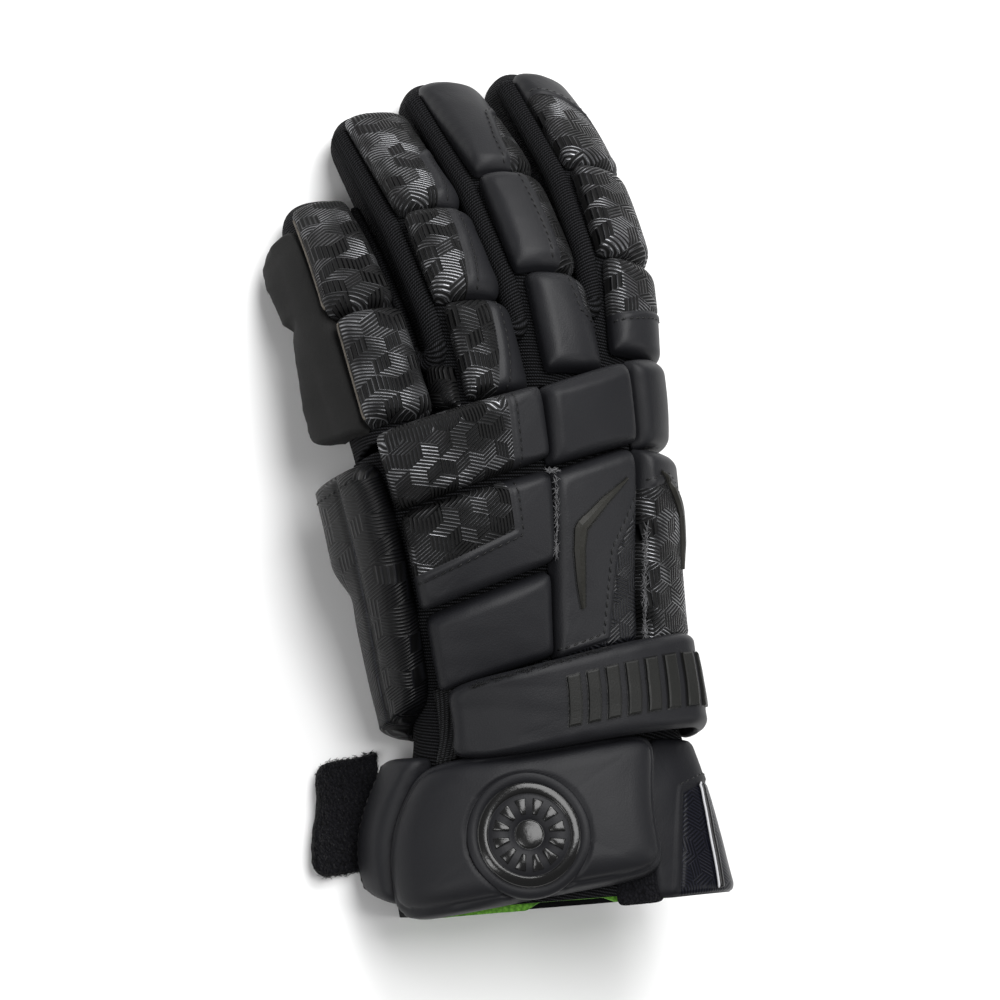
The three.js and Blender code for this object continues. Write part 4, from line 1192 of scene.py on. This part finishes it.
def badge():
    shield = PADS["cuff_shield"]
    q, t = BADGE_AT
    centre, normal = shield.surface.at(q, t * HAND_LENGTH, shield.thick)
    ahead = unit(np.array([0, 1.0, 0]) - normal[1] * normal)
    right = np.cross(ahead, normal)
    # the disc follows a cubic fitted to the hollow of the shield
    off = shield.top.reshape(-1, 3) - centre
    a, b, h = off @ right, off @ ahead, off @ normal
    near = np.hypot(a, b) < BADGE_HOLLOW - 2.0

    def terms(a, b):
        return np.stack([a ** k * b ** m for k in range(4) for m in range(4 - k)], -1)

    fit = np.linalg.lstsq(terms(a[near], b[near]), h[near], rcond=None)[0]

    def spot(a, b, height):
        lift = terms(a, b) @ fit + height
        return centre + a[:, None] * right + b[:, None] * ahead + lift[:, None] * normal

    around = 96
    angles = np.linspace(0, 2 * math.pi, around, endpoint=False)
    verts = [spot(r * np.cos(angles), r * np.sin(angles), h) for r, h, _ in BADGE_RINGS]
    faces, index = [], []
    for k, (_, _, mat) in enumerate(BADGE_RINGS[:-1]):
        faces += grid_faces(2, around, closed=True, start=k * around)
        index += [mat] * around
    last = (len(BADGE_RINGS) - 1) * around
    faces += [tuple(last + i for i in range(around)), tuple(range(around - 1, -1, -1))]
    index += [1, 0]
    # plain wedges between the ring and the middle
    start = len(BADGE_RINGS) * around
    for k in range(BADGE_RAYS):
        turn = 2 * math.pi * k / BADGE_RAYS
        for bevel, lift in RAY_LAYERS:
            r0, r1 = RAY_FROM + bevel, RAY_TO - bevel
            w0, w1 = RAY_NARROW - bevel * 0.9, RAY_WIDE - bevel
            out = np.array([r0, r1, r1, r0])
            side = np.array([-w0, -w1, w1, w0])
            verts.append(spot(out * math.cos(turn) - side * math.sin(turn),
                              out * math.sin(turn) + side * math.cos(turn), lift))
        faces += tube_faces(3, 4, start=start)
        index += [1] * 10
        start += 12
    return build("badge_disc", np.concatenate(verts), faces, ["smooth", "gloss_bars"],
                 ("badge_boss",), index=index)


badge()


# Loop-faced strap end lying out past the wrist

def loop_strap():
    low, high = (np.array(v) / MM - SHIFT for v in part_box("loop_strap"))
    nx, ny = 64, 90
    slant, thick = 5.0, 3.4
    x = np.linspace(0, 1, nx + 1)
    y = np.linspace(-1, 1, ny + 1)
    gx, gy = np.meshgrid(x, y)
    right, left = high[0] - slant, low[0] + slant
    middle, half = (low[1] + high[1]) / 2, (high[1] - low[1]) / 2
    round_off = 7.0
    shrink = 1 - (1 - quarter((1 - gx) * (right - left) / round_off)) * round_off / half
    py = middle + gy * (half * shrink + 0.25 * np.sin(9 * gx + 2 * gy))
    px = right - (right - left) * gx + slant * gy + gx * (0.4 * np.sin(4 * gy) + 0.12 * np.sin(13 * gy))
    lift = np.interp(gx, [0.0, 0.45, 0.8, 1.0], [0.35, 0.5, 2.0, 4.4])
    fuzz = RNG.normal(0, 0.22, gx.shape)
    edge = np.clip((1 - np.abs(gy)) * half / 1.2, 0, 1)
    top = lift + thick * (0.55 + 0.45 * quarter(edge)) + fuzz
    upper = np.stack([px + fuzz * (1 - edge) * 2, py, top], -1).reshape(-1, 3)
    lower = np.stack([px, py, lift + np.abs(fuzz) * 0.3], -1).reshape(-1, 3)
    size = (nx + 1) * (ny + 1)
    faces = grid_faces(ny + 1, nx + 1, flip=True) + grid_faces(ny + 1, nx + 1, start=size)
    rim = ([i for i in range(nx)] + [j * (nx + 1) + nx for j in range(ny)]
           + [ny * (nx + 1) + i for i in range(nx, 0, -1)] + [j * (nx + 1) for j in range(ny, 0, -1)])
    faces += [(a, b, b + size, a + size) for a, b in zip(rim, rim[1:] + rim[:1])]
    piece = build("loop_strap_end", np.concatenate([upper, lower]), faces, ["loops"],
                  ("loop_strap",))
    return upper[rim] - np.array([0, 0, 0.5])


LOOP_EDGE = loop_strap()


# Lining: a green mesh ring inside the mouth, with an uneven lip that shows only under the shield
LIP_WAVES = (3, 5, 8, 13, 21, 34)  # turns of each wave round the mouth
LIP_DEPTHS = ((-0.55, 7.0), (-0.42, 2.0), (-0.36, -1.0), (-0.14, -1.0), (-0.1, 2.4), (0.07, 2.4),
              (0.1, -0.2), (0.24, -0.2), (0.28, 3.0), (0.5, 7.0))  # q, and mm that the lip lies inside


def cuff_lining():
    surface = SURFACES["hand"]
    around = 220
    stations = np.concatenate([np.linspace(-1.8, 4, 14), np.linspace(5, 15, 8)])
    phases = np.random.default_rng(11).uniform(0, 6.28, len(LIP_WAVES))
    theta = np.linspace(0, 2 * math.pi, around, endpoint=False)
    q = np.linspace(-1, 1, around, endpoint=False)
    lip = sum(np.sin(theta * k + p) / k for k, p in zip(LIP_WAVES, phases)) * 0.5
    lip += np.interp(q, *zip(*LIP_DEPTHS))
    rows = []
    for inset, order in ((2.9, 1), (4.1, -1)):
        for t in stations[::order]:
            points, _ = ring(surface.section(t), q, inset)
            points[:, 2] = np.maximum(points[:, 2], inset)
            points[:, 1] += lip * np.clip((6 - t) / 10, 0, 1)
            rows.append(points)
    faces = grid_faces(len(rows), around, closed=True) + ring_faces((len(rows) - 1) * around, 0, around)
    return build("cuff_lining_mesh", np.concatenate(rows), faces, ["lining"], ("cuff_lining",))


cuff_lining()


# Knit welts: a ribbed bulge that runs round each finger's roll and ends in the crotches
WELT_HALF, WELT_RISE, WELT_SINK = 4.4, 3.4, 1.5
WELT_SIDES = 14


def welt(name, points, normals):
    """A ribbed, flattened roll of knit along a path."""
    reach = reach_of(points)
    s = np.linspace(0, reach[-1], int(reach[-1] / 0.28))
    p, up = read_path(points, reach, s), read_path(normals, reach, s)
    way = unit(np.gradient(p, axis=0))
    up = unit(up - way * (up * way).sum(1)[:, None])
    side = np.cross(way, up)
    ends = np.clip(np.minimum(s, reach[-1] - s) / 4.0, 0, 1)
    taper = np.sqrt(np.clip(1 - (1 - ends) ** 2, 0.02, 1))
    verts, uvs = [], []
    for k in range(WELT_SIDES):
        a = 2 * math.pi * k / WELT_SIDES
        u = k * WELT_HALF * 0.45
        size = taper * (1 - 0.05 * np.cos(2 * math.pi * (s + KNIT_LEAN * u) / KNIT_ROW))
        lift = math.sin(a) * (WELT_RISE if math.sin(a) > 0 else WELT_SINK)
        verts.append(p + (side * math.cos(a) * WELT_HALF + up * lift) * size[:, None])
        uvs.append(np.stack([np.full(len(s), u), s], 1))
    return build(name, np.stack(verts, 1).reshape(-1, 3), tube_faces(len(s), WELT_SIDES), ["knit"],
                 (), np.stack(uvs, 1).reshape(-1, 2))


def finger_track(name, q, t_from, t_to):
    surface = SURFACES[name]
    t = np.linspace(t_from, t_to, 60) * surface.length
    return surface.at(np.linspace(q[0], q[1], 60), t, 0.8)


def crotch_welt(left, right, left_end, right_end):
    """Down the thumb side of one finger, round the crotch and up the next finger."""
    a, an = finger_track(left, (0.37, 0.35), 0.92, left_end)
    b, bn = finger_track(right, (-0.27, -0.35), right_end, 0.92)
    gap = b[0] - a[-1]
    along = unit(a[-1] - a[-8])
    turn = [a[-1] + gap * (1 - math.cos(w)) / 2 + along * math.sin(w) * np.linalg.norm(gap) * 0.5
            for w in np.linspace(0, math.pi, 16)[1:-1]]
    mid = [an[-1] * (1 - f) + bn[0] * f for f in np.linspace(0, 1, 16)[1:-1]]
    welt(f"{left}_{right}_welt", np.concatenate([a, turn, b]), np.concatenate([an, mid, bn]))


for crotch in (("little", "ring", 0.31, 0.19), ("ring", "middle", 0.25, 0.17),
               ("middle", "index", 0.25, 0.18)):
    crotch_welt(*crotch)

# Stitches beside the seams, and single rows in pad coordinates
SEAM_GAP = 2.9
for piece in PADS.values():
    if piece.region is not None:
        stitch_line(*piece.line(piece.seam_line(SEAM_GAP)))
STITCH_ROWS = (
    ("cuff_band", (-0.35, -0.9), (-0.45, 0.88)),
    ("side_bolster", (-0.85, 0.8), (0.8, 0.9)),
    ("webbing_tab", (-0.9, -0.86), (0.9, -0.86)),
    ("webbing_tab", (-0.9, 0.9), (0.9, 0.9)),
)
for name, start, end in STITCH_ROWS:
    piece = PADS[name]
    stitch_line(*piece.line(np.array([start, end]) * (piece.hx, piece.hy)))
build("stitches", THREAD["verts"], THREAD["faces"], ["thread"])


# Piping, and frayed threads in the grooves between pads

def piping(name, on, start, end, radius, mat, sink=0.2):
    """A cord along the top of a pad between two places in pad coordinates."""
    places = np.linspace(start, end, 90)
    verts, faces = cord_mesh(*on.place(*places.T), radius, sink=sink)
    return build(name, verts, faces, [mat])


def frayed(name, points, normals, count, length, spread, mat):
    """Short loose fibres scattered along a path."""
    rng = np.random.default_rng(len(name))
    verts, faces = [], []
    for _ in range(count):
        f = rng.uniform(0, len(points) - 1.001)
        i = int(f)
        at = points[i] + (points[i + 1] - points[i]) * (f - i) + rng.normal(0, spread, 3)
        way = unit(points[min(i + 2, len(points) - 1)] - points[max(i - 2, 0)])
        way = unit(way + rng.normal(0, 0.45, 3))
        bend = rng.normal(0, 0.25, 3) * length
        steps = np.linspace(-0.5, 0.5, 5)[:, None]
        line = at + way * steps * length * rng.uniform(0.6, 1.3) + bend * steps ** 2
        v, f = cord_mesh(line, np.tile(normals[i], (5, 1)), 0.10, sides=4)
        base = len(verts)
        verts += list(v)
        faces += [tuple(base + k for k in face) for face in f]
    return build(name, verts, faces, [mat])


def hand_path(q, t, lift, count=40):
    surface = SURFACES["hand"]
    return surface.at(np.linspace(*q, count), np.linspace(*t, count) * HAND_LENGTH, lift)


piping("little_far_piping", PADS["little_roll_far"], (-0.93, -0.93), (-0.93, 0.8), 0.75, "binding")
piping("little_near_piping", PADS["little_roll_near"], (-0.93, -0.93), (-0.93, 0.93), 0.75, "binding")
flare = PADS["cuff_flare"]
piping("flare_piping_black", flare, flare.flat_of(0.4, 0.2), flare.flat_of(0.372, 0.0), 1.5, "piping", 0.0)
piping("flare_piping_pale", flare, flare.flat_of(0.388, 0.2), flare.flat_of(0.36, 0.0), 0.45, "pale", -0.9)
frayed("fray_long", *hand_path((-0.004, -0.03), (0.835, 0.68), 7.5), 80, 4.0, 0.3, "fray")
frayed("fray_top", *hand_path((-0.03, 0.0), (0.846, 0.842), 8.0), 40, 3.0, 0.4, "fray")
frayed("fray_cord", *hand_path((0.262, 0.222), (0.70, 0.47), 9.5), 150, 4.0, 0.35, "fray")
edge_places = np.linspace((-0.93, 0.93), (0.0, 0.97), 60)
frayed("loop_fuzz", LOOP_EDGE, np.tile([0, 0, 1.0], (len(LOOP_EDGE), 1)), 500, 2.0, 0.35, "thread")
frayed("strap_fuzz", *PADS["wrist_strap"].place(*edge_places.T), 260, 2.6, 0.5, "thread")

# Camera, floor and light

# The camera is turned about three axes and aimed at AIM, in millimetres along the turned axes
THETA, BETA, ROLL = (math.radians(v) for v in (30.0, 10.0, 10.0))
LENS, SENSOR, DISTANCE = 100.0, 36.0, 1028.0
AIM = (8.2, 153.9, 35.0)
START = np.array([0, 3.0, 0])
Y_TILT = np.array([0, math.cos(BETA), math.sin(BETA)])
Z_TILT = np.array([0, -math.sin(BETA), math.cos(BETA)])
X_AXIS = np.array([1.0, 0, 0])
ACROSS = math.cos(THETA) * X_AXIS + math.sin(THETA) * Z_TILT
BACK_AXIS = -math.sin(THETA) * X_AXIS + math.cos(THETA) * Z_TILT
RIGHT = math.cos(ROLL) * ACROSS - math.sin(ROLL) * Y_TILT
UP = math.sin(ROLL) * ACROSS + math.cos(ROLL) * Y_TILT
TARGET = START + AIM[0] * ACROSS + AIM[1] * Y_TILT + AIM[2] * BACK_AXIS
EYE = (TARGET + DISTANCE * BACK_AXIS + SHIFT) * MM

camera = bpy.data.objects.new("camera", bpy.data.cameras.new("camera"))
camera.data.lens = LENS
camera.data.sensor_width = SENSOR
rotation = Matrix((tuple(RIGHT), tuple(UP), tuple(BACK_AXIS))).transposed()
camera.matrix_world = Matrix.Translation(Vector(EYE)) @ rotation.to_4x4()
bpy.context.scene.collection.objects.link(camera)
bpy.context.scene.camera = camera

floor_mesh = bpy.data.meshes.new("floor")
FLOOR = 4.0  # metres from its middle to its edges
floor_mesh.from_pydata([(x * FLOOR, y * FLOOR, 0) for x, y in ((-1, -1), (1, -1), (1, 1), (-1, 1))], [],
                       [(0, 1, 2, 3)])
floor = bpy.data.objects.new("floor", floor_mesh)
floor_mesh.materials.append(Nodes("floor_white", (0.92, 0.92, 0.92), 0.9).mat)
bpy.context.scene.collection.objects.link(floor)


LIT = (0, 0, 0.03)  # the lamps point here


def area_light(name, where, size, power):
    data = bpy.data.lights.new(name, "AREA")
    data.shape = "RECTANGLE"
    data.size, data.size_y = size
    data.energy = power
    lamp = bpy.data.objects.new(name, data)
    lamp.location = where
    lamp.rotation_euler = (Vector(LIT) - Vector(where)).to_track_quat("-Z", "Y").to_euler()
    bpy.context.scene.collection.objects.link(lamp)


area_light("key", (0.4, 1.0, 1.25), (1.2, 0.7), 20)
area_light("top", (0.0, 0.3, 1.6), (0.9, 0.9), 16)
area_light("fill", (1.2, -0.7, 1.1), (0.5, 0.9), 5)
area_light("side", (-1.2, -0.3, 1.1), (0.5, 0.9), 8)

world = bpy.data.worlds.new("studio")
world.use_nodes = True
background = world.node_tree.nodes["Background"].inputs
background["Color"].default_value = (1, 1, 1, 1)
background["Strength"].default_value = 0.24
bpy.context.scene.world = world
bpy.context.scene.view_settings.view_transform = "Standard"
